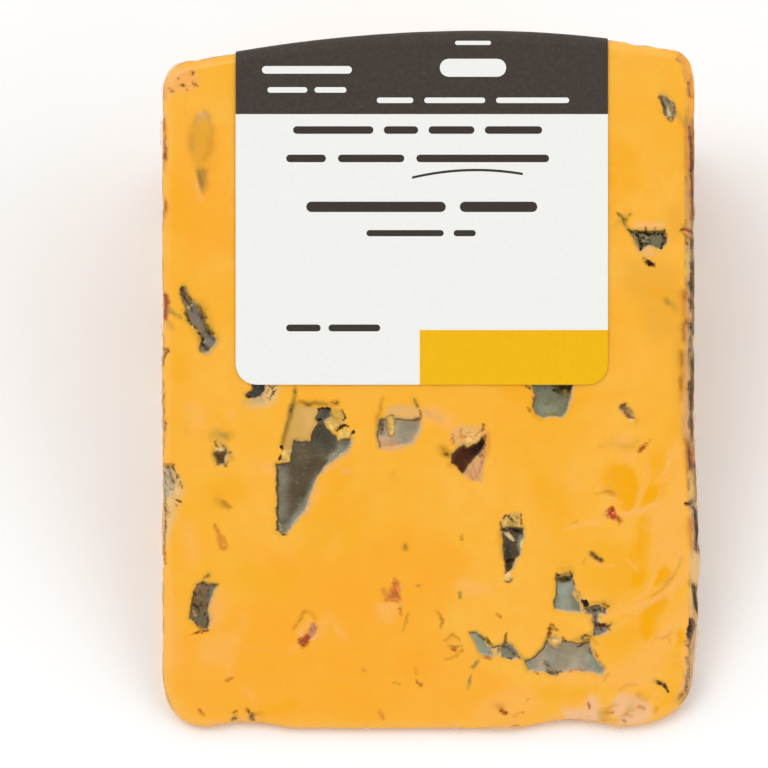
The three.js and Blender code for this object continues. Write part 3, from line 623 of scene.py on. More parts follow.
RIGHT_EDGE = (
    *tints("deep", 0.85, 0.6, [(342,985,6),(365,974,7),(374,959,9),(377,925,9),(377,887,7)]),
    *tints("rusty", 0.75, 0.6, [(375,945,4),(375,919,6)], [(371,876,6),(372,845,10),(372,812,9)],
        [(374,786,6),(375,744,9)], [(365,727,6),(372,717,9)], [(363,633,9),(368,618,12),(365,601,6)],
        [(365,590,4),(365,564,5)], [(362,546,4),(362,477,6)], [(369,422,6),(372,396,12),(374,373,7)],
        [(374,303,9),(376,267,9)]),
    *tints("brown", 0.8, 0.5, [(379,881,3),(378,824,5),(379,751,5),(379,714,5)], [(366,633,3),(368,621,5)],
        [(365,588,3),(365,565,4)], [(362,546,3),(363,529,4)], [(361,509,3),(361,494,3)], [(372,413,6),
        (374,381,7)], [(384,208,6),(385,179,6)]),
    *tints("umber", 0.95, 0.4, [(379,708,6),(379,676,7),(378,621,7),(377,578,6),(377,506,6),(377,419,5)],
        [(381,376,3),(382,335,3)], [(382,315,6),(385,263,6)]),
    *tints("khaki", 0.5, 0.5, [(355,893,3),(368,870,4)], [(342,621,5),(353,610,6)], [(365,454,3),(366,419,4)],
        [(375,538,3),(375,512,4)]),
    *tints("khaki", 0.85, 0.35, [(373,584,3),(373,546,4)]),
    # Painted highlight of a fold in the film, as tan-clay and straw streaks
    *tints("tan clay", 0.9, 0.4, [(367,488,5),(367,460,5),(368,425,5)]),
    *tints("straw", 0.85, 0.35, [(370,685,5),(371,662,4)]),
    *tints("tan clay", 0.85, 0.35, [(373,656,3),(373,624,3)], [(370,620,4),(369,601,4)], [(375,601,4),
        (375,591,3)], [(370,581,3),(370,549,5)], [(369,540,6),(368,503,6)]),
    # Painted glints at the right edge, as thin pale-stone strokes
    *tints("pale stone", 0.8, 0.3, [(381,688,2),(381,670,2)], [(379,636,1),(379,624,1)], [(378,592,2),
        (378,555,2),(377,542,2)], [(378,328,3),(379,315,2)]),
    *tints("lifted", 0.9, 0.4, [(366,124,6),(366,90,6),(362,58,6)]),
    *tints("tan clay", 0.9, 0.4, [(376,118,3),(375,90,4),(371,61,3)]),
    tint("pale rind", 0.7, 0.5, [(374,256),(389,256),(391,211),(378,208),(372,228)]),
    # The straw streaks are painted highlight of the film's fold
    *tints("straw", 0.8, 0.5, [(376,366,6),(378,338,7)], [(372,202,6),(376,171,5)]),
    *marks("maroon", 0.2, [(372,873,3),(375,855,5),(374,838,3)], [(375,844,4),(376,806,5)], [(359,718,3),
        (362,724,3),(369,724,4),(376,720,5)], [(365,717,2),(372,711,3)], [(368,328,4),(375,329,6),
        (379,325,3)], [(372,416,3),(374,393,5),(374,376,5)]),
    *marks("brown", 0.3, [(372,939,3),(372,925,3),(375,916,3)], [(376,780,3),(378,749,5),(376,737,3)]),
    *marks("ink", 0.2, [(378,801,3),(378,772,3),(379,746,3)], [(378,676,2),(379,662,2)], [(377,595,1),
        (378,572,2)], [(376,535,2),(377,517,2)], [(371,468,1),(371,433,1)], [(376,483,4),(376,451,4),
        (376,422,2)], [(381,263,2),(385,257,3)], [(374,126,2),(372,101,2),(372,78,3),(368,55,2)]),
    *marks("black", 0.2, [(376,708,4),(376,696,5)], [(375,676,4),(376,665,3)], [(376,659,3),(376,634,4)],
        [(374,624,3),(374,604,3)], [(374,590,5),(374,579,4)], [(374,569,3),(374,546,4)], [(374,503,5),
        (374,491,4)], [(376,327,3),(382,315,4),(384,286,4),(385,266,4)], [(378,210,6),(381,191,6),(385,179,5),
        (387,166,3)]),
    # Painted highlight of the film's fold, as thin straw streaks
    *marks("straw", 0.12, [(374,457,1),(374,431,2)], [(376,361,2),(376,341,2)], [(376,298,1),(378,275,2)],
        [(375,269,3)]),
    mark("dark maroon", 0.15, [(372,162),(379,163),(384,153),(381,139),(376,127),(371,129),(368,139),
        (371,150)], relief=-0.3),
    *marks("ink", 0.2, [(368,105,1),(369,98,2)], [(366,130,1),(368,121,1)]),
)

# Later ones lie over earlier ones
SHOWN_FACE = (
    *PASTE_TONES, *FAINT_RING, *LONG_POCKET, *SHALLOW_HOLLOW, *DEEP_HOLE, *SLIT, *LOWER_RIGHT_POCKETS,
    *RIGHT_POCKETS, *LEFT_POCKETS, *FLECKS, *LEFT_EDGE, *RIGHT_EDGE,
)

# Creases of the film over the shown face: how strong each is, and its line as (x, v, share of that strength),
# with x and v in tenths of a millimetre. Each raises a ridge in the film, with white haze along it that is
# partly painted highlight
CREASES = (
    (0.8, [(342,405,1), (342,383,1), (337,358,1), (324,327,1), (311,321,1), (294,316,1), (277,314,0.6)]),
    (0.6, [(314,405,0.6), (311,379,1), (307,361,1), (293,322,0.8)]),
    (0.3, [(243,409,0.6), (261,412,1), (280,415,1), (297,407,0.7)]),
    (0.5, [(360,251,0.8), (353,227,1), (340,212,1), (329,204,0.7)]),
    (0.7, [(374,224,0.7), (348,197,1), (316,182,1), (281,159,1), (243,130,0.6)]),
    (0.5, [(254,171,0.7), (301,191,1), (330,205,1), (366,246,0.7)]),
    (0.6, [(157,65,0.6), (186,74,1), (215,82,0.7)]),
    (0.6, [(324,136,0.7), (348,150,0.7)]),
    (0.5, [(353,104,0.6), (372,103,0.9)]),
    (0.4, [(301,246,0.6), (319,266,1), (336,275,0.7)]),
    (0.35, [(243,58,0.6), (287,66,1), (330,81,0.8), (353,95,0.5)]),
    (0.4, [(261,40,0.6), (278,49,0.9), (301,43,0.9), (319,49,0.5)]),
    (0.4, [(269,20,0.6), (287,27,0.9), (310,20,0.5)]),
    (0.3, [(56,35,0.5), (99,43,0.9), (142,38,0.5)]),
    (0.3, [(-355,471,0.6), (-340,460,0.9), (-330,436,0.6)]),
    (0.3, [(-262,386,0.5), (-230,381,0.8), (-204,376,0.5)]),
    (0.3, [(-291,130,0.5), (-245,113,0.8), (-190,116,0.5)]),
    (0.3, [(-17,188,0.5), (30,205,0.8), (87,202,0.5)]),
    (0.25, [(128,419,0.5), (164,405,0.8), (186,376,0.6)]),
    (0.35, [(255,376,0.5), (261,347,0.8), (275,321,0.5)]),
)


# The label, in millimetres: its middle, its lower edge up the face, and how far it stands off the film
LABEL_MIDDLE = -1.4
LABEL_BOTTOM = 49.9
LABEL_GAP = 0.05
LABEL_CORNER = 3.0
BEND_ROWS = (45.6, 52.6)  # between these, up the sheet, it bends over the edge
BAND_FROM = 39.1  # up the sheet
BLOCK_LEFT, BLOCK_TOP = -1.7, 7.9

ARCH_X, ARCH_CREST, ARCH_V = (-2.8, 13.2), 6.5, 81.1  # the thin arched bar's ends, top and height

# Lines of print: middle x, v, width, bar height, words' lengths in letters, and the ink (0 is bare paper)
PRINT_LINES = (
    (-18.0, 95.4, 13.0, 1.1, (7,), 0),
    (-18.0, 92.5, 11.4, 0.8, (5, 4), 0),
    (6.0, 99.3, 5.2, 0.6, (3,), 0),
    (6.0, 95.7, 9.6, 2.6, (4,), 0),
    (6.0, 91.0, 27.8, 0.8, (3, 5, 6), 0),
    (-2.0, 86.7, 36.0, 1.1, (7, 3, 4, 5), 3),
    (-2.0, 82.6, 38.0, 1.1, (3, 5, 10), 3),
    (-1.4, 75.6, 33.4, 1.5, (9, 5), 3),
    (-1.5, 71.8, 15.8, 0.9, (7, 2), 3),
    (-14.2, 58.1, 13.6, 1.0, (4, 6), 3),
)


# ---------------- Shapes ----------------


def smooth(share):
    """Eases from 0 to 1."""
    share = np.clip(share, 0, 1)
    return share * share * (3 - 2 * share)


def ripple(points, size, seed):
    """Smooth noise, about -0.7 to 0.7, with lumps `size` millimetres across."""
    shift = Vector((13.7 * seed, 5.3 * seed, 9.1 * seed))
    return np.array([noise.noise(Vector(point) / size + shift) for point in points.tolist()])


def tip_edge(x):
    """How far the tip's edge is pushed in at x, by the soft dents in it."""
    v = TIP_SAG
    for middle, reach, depth in TIP_DENTS:
        away = min(abs(x - middle) / reach, 1)
        v += depth * (1 + math.cos(math.pi * away)) / 2
    return v


def crown(x):
    """The outer rind's height above the tip at x: two half parabolas that meet level at the crest."""
    x = np.asarray(x, float)
    shoulder_x = np.where(x < CREST_X, LEFT_SHOULDER[0], RIGHT_SHOULDER[0])
    shoulder_v = np.where(x < CREST_X, LEFT_SHOULDER[1], RIGHT_SHOULDER[1])
    return CUT_LENGTH - (CUT_LENGTH - shoulder_v) * ((x - CREST_X) / (shoulder_x - CREST_X)) ** 2


def bend(start, middle, end, steps=16):
    """A quadratic curve's points, without its start."""
    t = np.linspace(0, 1, steps + 1)[1:, None]
    return (1 - t) ** 2 * np.array(start) + 2 * t * (1 - t) * np.array(middle) + t * t * np.array(end)


def cut_outline(step):
    """The cut face's outline, counter-clockwise from the tip's left end, a point each `step` millimetres."""
    left, waist = LEFT_FLANK, RIGHT_WAIST
    tip_left, tip_right = left + TIP_CORNERS[0], HALF - TIP_CORNERS[1]
    tip = [(x, tip_edge(x)) for x in np.linspace(tip_left, tip_right, 60)]
    low_left, low_right = tip_edge(tip_left), tip_edge(tip_right)
    flank_v = np.linspace(RIGHT_BULGES[0][0], RIGHT_BULGES[-1][0], 90)
    flank = np.stack([waist + np.interp(flank_v, *zip(*RIGHT_BULGES)), flank_v], 1)
    for _ in range(8):
        flank[1:-1] = (flank[:-2] + 2 * flank[1:-1] + flank[2:]) / 4
    top = np.linspace(RIGHT_SHOULDER[0], LEFT_SHOULDER[0], 90)
    path = np.vstack([
        tip,
        bend(tip[-1], (flank[0, 0], low_right), flank[0]),
        flank[1:],
        bend(flank[-1], (waist, RIGHT_SHOULDER[1]), RIGHT_SHOULDER),
        np.stack([top, crown(top)], 1)[1:],
        bend(LEFT_SHOULDER, (left, LEFT_SHOULDER[1]), (left, LEFT_SHOULDER[1] - LEFT_CORNERS[1])),
        [(left, LEFT_CORNERS[0])],
        bend((left, LEFT_CORNERS[0]), (left, low_left), tip[0]),
    ])
    length = np.concatenate([[0], np.cumsum(np.hypot(*np.diff(path, axis=0).T))])
    at = np.arange(0, length[-1], length[-1] / round(length[-1] / step))
    return np.stack([np.interp(at, length, path[:, 0]), np.interp(at, length, path[:, 1])], 1)


def outward(loop):
    """The way out of a counter-clockwise loop at each of its points."""
    along = np.roll(loop, -1, axis=0) - np.roll(loop, 1, axis=0)
    return np.stack([along[:, 1], -along[:, 0]], 1) / np.hypot(*along.T)[:, None]


def on_wheel(x, radius, angle):
    """The point at x, at a radius from the wheel's axis and an angle up from the hidden cut face."""
    return np.stack([x + 0 * radius, AXIS_Y + radius * np.cos(angle), radius * np.sin(angle)], -1)


def on_face(spots, lift=0.0):
    """Points over spots (x, v) of the shown cut face."""
    radius = spots[:, 1:2] + TIP_STANDOFF
    lift = np.reshape(lift, (-1, 1))
    return np.array((0.0, AXIS_Y, 0.0)) + spots[:, :1] * (1.0, 0.0, 0.0) + radius * FACE_UP + lift * FACE_OUT


# Points of a skin: where each is, the way out of the solid there, its place (x, v), the angle up from the
# hidden cut face, how far it has turned round a soft edge, and the outline's own way out
Skin = namedtuple("Skin", "points normals spots angles turns ways")


def wedge_walls(outline, inset, round_steps, wall_steps):
    """The skin between the two cut faces, as loops from the hidden face on, `inset` inside the solid."""
    quarter = math.pi / 2
    levels = [(-quarter, 0, ring) for ring in FLAT_RINGS]
    levels += [(quarter * (step / round_steps - 1), 0, 0) for step in range(round_steps)]
    levels += [(0.0, step / wall_steps, 0) for step in range(wall_steps + 1)]
    levels += [(quarter * step / round_steps, 1, 0) for step in range(1, round_steps + 1)]
    levels += [(quarter, 1, ring) for ring in FLAT_RINGS[::-1]]
    ways = outward(outline)
    wall = (outline[:, 1] + TIP_STANDOFF) * WEDGE_ANGLE
    radius = np.minimum(EDGE_ROUND, wall / 2 - inset)
    loops = []
    for turn, share, further in levels:
        spots = outline - ways * (inset + further + radius * (1 - math.cos(turn)))[:, None]
        rise = inset + radius + (wall - 2 * inset - 2 * radius) * share + radius * math.sin(turn)
        angle = rise / wall * WEDGE_ANGLE
        points = on_wheel(spots[:, 0], spots[:, 1] + TIP_STANDOFF, angle)
        away = on_wheel(ways[:, 0], ways[:, 1], angle) - (0, AXIS_Y, 0)
        lean = np.stack([0 * angle, -np.sin(angle), np.cos(angle)], -1)
        normals = math.cos(turn) * away + math.sin(turn) * lean
        loops.append((points, normals, spots, angle, np.full(len(angle), turn), ways))
    return Skin(*(np.vstack(part) if part[0].ndim == 2 else np.concatenate(part) for part in zip(*loops)))


def loop_quads(loops, count):
    """Joins each loop of points to the next one."""
    start = np.arange(loops - 1)[:, None] * count
    one, two = start + np.arange(count), start + np.roll(np.arange(count), -1)
    return np.stack([one, two, two + count, one + count], -1).reshape(-1, 4).tolist()


def edge_distance(spots, shape):
    """Millimetres from each spot to the edge of a patch or a stroke, negative inside it."""
    if shape.shape[1] == 3:
        best = np.hypot(*(spots - shape[0, :2]).T) - shape[0, 2]
        for start, end in zip(shape[:-1], shape[1:]):
            run = end[:2] - start[:2]
            share = np.clip((spots - start[:2]) @ run / (run @ run), 0, 1)
            away = np.hypot(*(spots - start[:2] - share[:, None] * run).T)
            best = np.minimum(best, away - start[2] - share * (end[2] - start[2]))
        return best
    best = np.full(len(spots), np.inf)
    inside = np.zeros(len(spots), bool)
    for start, end in zip(shape, np.roll(shape, -1, axis=0)):
        run = end - start
        share = np.clip((spots - start) @ run / (run @ run), 0, 1)
        best = np.minimum(best, np.hypot(*(spots - start - share[:, None] * run).T))
        crosses = (start[1] > spots[:, 1]) != (end[1] > spots[:, 1])
        inside ^= crosses & (spots[:, 0] < start[0] + (spots[:, 1] - start[1]) * run[0] / (run[1] or 1))
    return np.where(inside, -best, best)


def near(spots, shape, reach):
    """The numbers of the spots that lie within reach of a shape's box."""
    half = shape[:, 2:].max() if shape.shape[1] == 3 else 0
    low, high = shape[:, :2].min(0) - half - reach, shape[:, :2].max(0) + half + reach
    return np.flatnonzero(((spots > low) & (spots < high)).all(1))


def cap_mesh(rim, needs, finest, coarsest, seed):
    """Fills a rim with points, close together where needs(spots) is small, and triangulates them.

    Returns the added spots and the triangles, which number the rim's points first.
    """
    low, high = rim.min(0), rim.max(0)
    columns, rows = np.ceil((high - low) / finest).astype(int)
    i, j = (grid.ravel() for grid in np.meshgrid(np.arange(columns), np.arange(rows)))
    spots = low + finest * np.stack([i, j], 1)
    need = needs(spots)
    step = np.full(len(spots), coarsest)
    for finer in (4, 2, 1):
        if finer < coarsest:
            step[need < 1.1 * finer * finest * (2 if finer > 1 else 1.6)] = finer
    keep = (i % step == 0) & (j % step == 0)
    spots, step = spots[keep], step[keep]
    spots = spots + np.random.default_rng(seed).uniform(-0.27, 0.27, spots.shape) * finest * step[:, None]
    spots = spots[edge_distance(spots, rim) < -0.25 - 0.35 * finest]
    points = [Vector(spot) for spot in np.vstack([rim, spots]).tolist()]
    edge = [list(range(len(rim)))]
    placed, _, triangles, origins, _, insides = delaunay_2d_cdt(points, [], edge, 1, 1e-6, True)
    if len(placed) != len(points):
        raise RuntimeError(f"{len(points)} points became {len(placed)}")
    names = [origin[0] for origin in origins]
    inner = [triangle for triangle, inside in zip(triangles, insides) if inside]
    return spots, [tuple(names[corner] for corner in triangle) for triangle in inner]


def new_piece(name, points, faces, materials):
    """A smooth mesh object at the origin. Its points are in millimetres."""
    mesh = bpy.data.meshes.new(name)
    mesh.from_pydata((np.asarray(points) * MM).tolist(), [], faces)
    for material in materials:
        mesh.materials.append(material)
    mesh.shade_smooth()
    piece = bpy.data.objects.new(name, mesh)
    bpy.context.scene.collection.objects.link(piece)
    return piece


def store(mesh, name, kind, values):
    """Keeps a number or a colour at each of a mesh's points, for its material to read."""
    attribute = mesh.attributes.new(name, kind, "POINT")
    field = "color" if kind == "FLOAT_COLOR" else "value"
    attribute.data.foreach_set(field, np.asarray(values, np.float32).ravel())


# ---------------- Laying the features on the cheese ----------------


def lay_features(spots, extra, features):
    """The tones, mould and marks at each spot. `extra`, added to every distance, grows down the rind."""
    count = len(spots)
    out = {
        "tint": np.tile((*linear(PASTE)[:3], 0.0), (count, 1)),
        "mould": np.full((count, 4), 0.3), "mark": np.full((count, 4), 0.3),
        "mould_edge": np.full(count, FAR), "mark_edge": np.full(count, FAR),
        "hollow": np.zeros(count), "relief": np.zeros(count),
    }
    beside = np.full(count, FAR)
    for feature in features:
        at = near(spots, feature.shape, FAR)
        at = at[extra[at] < FAR]
        if not len(at):
            continue
        away = edge_distance(spots[at], feature.shape) + extra[at]
        if feature.ring:
            away = np.abs(away) - feature.ring
        colour = linear(COLOURS[feature.colour])[:3]
        cover = feature.amount * smooth((feature.soft - away) / (2 * feature.soft))[:, None]
        if feature.layer == "tint":
            under = out["tint"][at, 3:]
            total = cover + under * (1 - cover)
            out["tint"][at, :3] += cover / np.maximum(total, 1e-6) * (colour - out["tint"][at, :3])
            out["tint"][at, 3:] = total
        elif feature.layer == "tone":
            out["mould"][at, :3] += cover * (colour - out["mould"][at, :3])
        else:
            edge = out[feature.layer + "_edge"]
            wins = (away < edge[at]) | ((away < 0) & (feature.layer == "mark"))
            at, away = at[wins], away[wins]
            edge[at] = away
            out[feature.layer][at] = (*colour, feature.soft)
        if feature.layer == "mould":
            # The distance from a step towards the key light, for lean below
            moved = edge_distance(spots[at] + UPPER_LEFT, feature.shape) + extra[at]
            beside[at] = np.minimum(beside[at], moved)
            deep = feature.relief * smooth((0.1 - away) / 0.6)
            out["hollow"][at] = np.minimum(out["hollow"][at], deep)
        elif feature.relief:
            out["relief"][at] += feature.relief * smooth((0.2 - away) / 0.4)
    # lean is 1 on a pocket's upper-left side and -1 on its lower right; it places painted shade and painted
    # highlight at its lip
    out["lean"] = np.clip((beside - out["mould_edge"]) / np.hypot(*UPPER_LEFT), -1, 1)
    return out


def crisp_distance(spots, features):
    """Millimetres from each spot to the nearest edge that has to be crisp."""
    best = np.full(len(spots), FAR)
    for feature in features:
        if feature.layer == "tint" and feature.soft > 0.45:
            continue
        at = near(spots, feature.shape, FAR)
        away = edge_distance(spots[at], feature.shape)
        if feature.ring:
            away = np.abs(away) - feature.ring
        best[at] = np.minimum(best[at], np.abs(away))
    return best


def ragged(spots, seed):
    """The spots, moved a little, so that straight strokes and patches come out with ragged edges."""
    places = np.hstack([spots, np.zeros((len(spots), 1))])
    shifts = []
    for side in (0, 1):
        coarse = 0.20 * ripple(places, 1.7, seed + side)
        shifts.append(coarse + 0.12 * ripple(places, 0.6, seed + 2 + side))
    return spots + np.stack(shifts, 1)


def hidden_face(seed):
    """Features for the hidden cut face, scattered by chance in the manner of the shown one."""
    rng = np.random.default_rng(seed)
    pick = lambda names: names[rng.integers(len(names))]
    found = []

    def stroke(middle, lean, length, half, joints):
        """A wandering stroke that thins towards its ends."""
        at = np.linspace(-0.5, 0.5, joints)
        line = np.array((math.sin(lean), math.cos(lean)))
        spine = middle + length * at[:, None] * line + rng.normal(0, 0.12 * length / joints, (joints, 2))
        halves = half * (0.35 + np.cos(at * math.pi)) * rng.uniform(0.6, 1.25, joints)
        return np.column_stack([spine, 2 * np.maximum(halves, 0.1)]) / TENTH

    for number in range(23):
        middle = np.array((rng.uniform(-33, 33), 6 + 88 * (number + rng.uniform(0, 1)) / 23))
        lean, length, half = rng.normal(0, 0.55), rng.uniform(3, 13), rng.uniform(0.7, 1.9)
        base = pick(
            ("driftwood", "warm stone", "moss grey", "warm ash", "bark", "walnut", "pale sage", "khaki grey"))
        body = stroke(middle, lean, length, half, 6)
        found.append(tint("olive", 0.3, 0.9, body + (0, 0, 6)))
        found.append(mould(base, 0.15, -rng.uniform(0.5, 2.2), body))
        bloom = pick(("ash", "lichen", "taupe"))
        found.append(tone(bloom, 0.6, stroke(middle + (0.4, -0.8), lean, length / 2, half / 2, 3)))
        for _ in range(5):
            off = rng.normal(0, (1.1 * half, 0.35 * length))
            crack = stroke(middle + off, lean + rng.normal(0, 0.6), rng.uniform(0.6, 2.6), 0.2, 3)
            found.append(mark(pick(("black", "brown", "dark olive", "maroon")), 0.15, crack))
        crumb = stroke(middle + (0.6, 1), lean, 1.8, 0.5, 3)
        found.append(mark(pick(("cream", "straw", "tan")), 0.15, crumb, relief=0.4))
    for _ in range(110):
        fleck = stroke(rng.uniform((-37, 3), (37, 97)), rng.normal(0, 0.9), rng.uniform(0.3, 2.2), 0.22, 3)
        colour = pick(("rust", "rusty", "ochre", "khaki", "brown", "copper", "dark olive"))
        found.append(mark(colour, 0.35, fleck))
    for _ in range(40):
        cloud = stroke(rng.uniform((-34, 5), (34, 95)), rng.normal(0, 1), 8, 2, 4)
        colour = pick(("wet", "lifted", "lifted", "deep", "salmon"))
        found.append(tint(colour, rng.uniform(0.3, 0.7), rng.uniform(0.5, 1.4), cloud))
    return found


# ---------------- Materials ----------------

# Kinds of node that come up often
NOISE, MIX, RANGE = "ShaderNodeTexNoise", "ShaderNodeMix", "ShaderNodeMapRange"
MATHS, STORED = "ShaderNodeMath", "ShaderNodeAttribute"


def linear(colour):
    """An sRGB hex colour as linear red, green, blue and alpha."""
    parts = [int(colour[at:at + 2], 16) / 255 for at in (1, 3, 5)]
    return (*(part / 12.92 if part <= 0.04045 else ((part + 0.055) / 1.055) ** 2.4 for part in parts), 1.0)


def per(millimetres):
    """A noise texture's scale for lumps of this size."""
    return 1 / (millimetres * MM)


def new_material(name):
    """An empty node tree with its output node, and the function that adds nodes to it."""
    material = bpy.data.materials.new(name)
    material.use_nodes = True
    tree = material.node_tree
    tree.nodes.clear()
    finish = partial(tree.links.new, tree.nodes.new("ShaderNodeOutputMaterial").inputs[0])
    return material, partial(add, tree), finish


def add(tree, kind, links, out=0, **settings):
    """Adds a node with its settings and what goes into each socket, and returns its output numbered `out`."""
    node = tree.nodes.new(kind)
    for name, value in settings.items():
        setattr(node, name, value)
    for key, value in links.items():
        if isinstance(value, bpy.types.NodeSocket):
            tree.links.new(value, node.inputs[key])
        else:
            node.inputs[key].default_value = value
    return node.outputs[out]


# Settings that many nodes share
COLOUR_MIX = {"out": 2, "data_type": "RGBA"}
EASED = {"interpolation_type": "SMOOTHSTEP"}


def ease(value, low, high, start=0.0, end=1.0):
    """What a Map Range node needs to ease from start, at low, to end, at high."""
    return {"Value": value, "From Min": low, "From Max": high, "To Min": start, "To Max": end}


def cheese_paste(settings):
    """Soft orange cheese with mould, flecks and rind. Moist paste has a low soft sheen and lets in a little
    light. Mould is dry and powdery, and so is the rind, mottled golden, brown and cream with dark cracks."""
    material, put, finish = new_material("soft orange blue cheese")
    place = put("ShaderNodeTexCoord", {}, out=3)
    drawn_out = put("ShaderNodeMapping", {"Vector": place, "Scale": (0.8, 0.35, 0.7)})
    wide = put(NOISE, {"Vector": place, "Scale": per(15), "Detail": 1.0})
    coarse = put(NOISE, {"Vector": place, "Scale": per(2.4), "Detail": 4.0, "Roughness": 0.6})
    middling = put(NOISE, {"Vector": place, "Scale": per(0.85), "Detail": 3.0, "Roughness": 0.65})
    small = put(NOISE, {"Vector": place, "Scale": per(0.4), "Detail": 2.0})
    streak = put(NOISE, {"Vector": drawn_out, "Scale": per(0.8), "Detail": 3.0, "Roughness": 0.6})

    # The paste: wide clouds of tone, and a fine grain
    clouds = put(RANGE, ease(wide, 0.35, 0.65), **EASED)
    paste = put(MIX, {0: clouds, 6: settings.paste, 7: settings.paste_pale}, **COLOUR_MIX)
    grain = put(RANGE, ease(coarse, 0.35, 0.65, 0, 0.3), **EASED)
    paste = put(MIX, {0: grain, 6: paste, 7: linear(COLOURS["deep"])}, **COLOUR_MIX)

    # The rind: golden tan with brown patches, a cream bloom and dark cracks, more of each where it is grimy
    grime = put(STORED, {}, out=2, attribute_name="grime")
    mottle = put(RANGE, ease(middling, 0.35, 0.65), **EASED)
    rind = put(MIX, {0: mottle, 6: linear("#DDA04A"), 7: linear("#C98A38")}, **COLOUR_MIX)
    for noise_value, share, low, high, most, colour in (
        (coarse, 0.22, 0.48, 0.68, 0.60, "#9A682E"), (wide, 0.10, 0.46, 0.66, 0.50, "#C4AA80"),
        (streak, 0.12, 0.54, 0.72, 0.55, "#7C5426"), (middling, 0.06, 0.68, 0.78, 0.60, "#8E8A78"),
        (streak, 0.30, 0.76, 0.82, 0.95, "#33200E"),
    ):
        patch = put(MATHS, {0: grime, 1: share, 2: noise_value}, operation="MULTIPLY_ADD")
        patch = put(RANGE, ease(patch, low, high, 0, most), **EASED)
        rind = put(MIX, {0: patch, 6: rind, 7: linear(colour)}, **COLOUR_MIX)
    rindy = put(STORED, {}, out=2, attribute_name="rind")
    surface = put(MIX, {0: rindy, 6: paste, 7: rind}, **COLOUR_MIX)
    tint_share = put(STORED, {}, out=3, attribute_name="tint")
    surface = put(MIX, {0: tint_share, 6: surface, 7: put(STORED, {}, attribute_name="tint")}, **COLOUR_MIX)

    # Mould: noise breaks up its edge, and it is darker in patches and speckled with pale spores
    shift = put(MATHS, {0: middling, 1: 0.44, 2: -0.22}, operation="MULTIPLY_ADD")
    edge = put(MATHS, {0: put(STORED, {}, out=2, attribute_name="mould_edge"), 1: shift}, operation="ADD")
    soft = put(STORED, {}, out=3, attribute_name="mould")
    hard = put(MATHS, {0: soft, 1: -1.0}, operation="MULTIPLY")
    mouldy = put(RANGE, ease(edge, hard, soft, 1, 0), **EASED)
    colour = put(STORED, {}, attribute_name="mould")
    shade = put(MIX, {0: 1.0, 6: colour, 7: linear("#ECE8DE")}, blend_type="MULTIPLY", **COLOUR_MIX)
    powder = put(MIX, {0: put(RANGE, ease(coarse, 0.40, 0.62), **EASED), 6: colour, 7: shade}, **COLOUR_MIX)
    spores = put(RANGE, ease(small, 0.58, 0.68, 0, 0.12), **EASED)
    powder = put(MIX, {0: spores, 6: powder, 7: linear("#C2C0AA")}, **COLOUR_MIX)

    # An olive breath of mould on the paste round it, strongest on its upper left: the olive tint is the
    # mould's, and its extra strength on the upper left is painted shade of the hollow's upper wall
    lean = put(STORED, {}, out=2, attribute_name="lean")
    reach = put(MATHS, {0: coarse, 1: 0.9, 2: edge}, operation="MULTIPLY_ADD")
    breath_and_shade = put(RANGE, ease(reach, 0.35, 1.25, 0.3, 0), **EASED)
    side = put(RANGE, ease(lean, -0.8, 0.8, 0.35, 1.6), **EASED)
    breath_and_shade = put(MATHS, {0: breath_and_shade, 1: side}, operation="MULTIPLY")
    surface = put(MIX, {0: breath_and_shade, 6: surface, 7: linear(COLOURS["khaki"])}, **COLOUR_MIX)
    surface = put(MIX, {0: mouldy, 6: surface, 7: powder}, **COLOUR_MIX)

    # The lip of a hollow: painted shade as a dark olive line on its upper left, where its wall would lie out
    # of the key light, and painted highlight as a pale line on its lower right, where the light would fall on
    # its wall
    away = put(MATHS, {0: edge, 1: 0.02}, operation="SUBTRACT")
    lip_shade_and_highlight = put(RANGE, ease(put(MATHS, {0: away}, operation="ABSOLUTE"), 0.06, 0.24, 1, 0), **EASED)
    for start, end, most, line in ((0.1, 0.8, 0.75, "#4A3814"), (-0.1, -0.8, 0.55, "#D6BC98")):
        turned = put(RANGE, ease(lean, start, end, 0, most), **EASED)
        painted_lip_share = put(MATHS, {0: lip_shade_and_highlight, 1: turned}, operation="MULTIPLY")
        surface = put(MIX, {0: painted_lip_share, 6: surface, 7: linear(line)}, **COLOUR_MIX)

    # Cracks, flecks and crumbs, with shaky edges
    mark_soft = put(STORED, {}, out=3, attribute_name="mark")
    mark_hard = put(MATHS, {0: mark_soft, 1: -1.0}, operation="MULTIPLY")
    swing = put(MATHS, {0: mark_soft, 1: 1.6, 2: 0.25}, operation="MULTIPLY_ADD")
    centred = put(MATHS, {0: small, 1: 0.5}, operation="SUBTRACT")
    shake = put(MATHS, {0: centred, 1: swing}, operation="MULTIPLY")
    mark_edge = put(MATHS, {0: put(STORED, {}, out=2, attribute_name="mark_edge"), 1: shake}, operation="ADD")
    marked = put(RANGE, ease(mark_edge, mark_hard, mark_soft, 1, 0), **EASED)
    fleck = put("ShaderNodeHueSaturation", {
        "Color": put(STORED, {}, attribute_name="mark"),
        "Value": put(RANGE, ease(middling, 0.3, 0.7, 1.3, 0.75), **EASED),
    })
    surface = put(MIX, {0: marked, 6: surface, 7: fleck}, **COLOUR_MIX)

    dry = put(MATHS, {0: rindy, 1: 0.8}, operation="MULTIPLY")
    for share in (mouldy, marked):
        dry = put(MATHS, {0: dry, 1: share}, operation="MAXIMUM")
    rough = put(RANGE, ease(dry, 0, 1, 0.42, 0.78), **EASED)
    crumbly = put(RANGE, ease(dry, 0, 1, 0.1, 0.8), **EASED)
    height = put(MATHS, {0: small, 1: crumbly, 2: coarse}, operation="MULTIPLY_ADD")
    bump = put("ShaderNodeBump", {"Strength": 0.5, "Distance": 0.0003, "Height": height})
    finish(put("ShaderNodeBsdfPrincipled", {
        "Base Color": surface, "Roughness": rough, "Normal": bump, "IOR": 1.4, "Specular IOR Level": 0.15,
        "Subsurface Weight": 0.12, "Subsurface Radius": (1.0, 0.5, 0.15), "Subsurface Scale": 1.2 * MM,
    }))
    return material


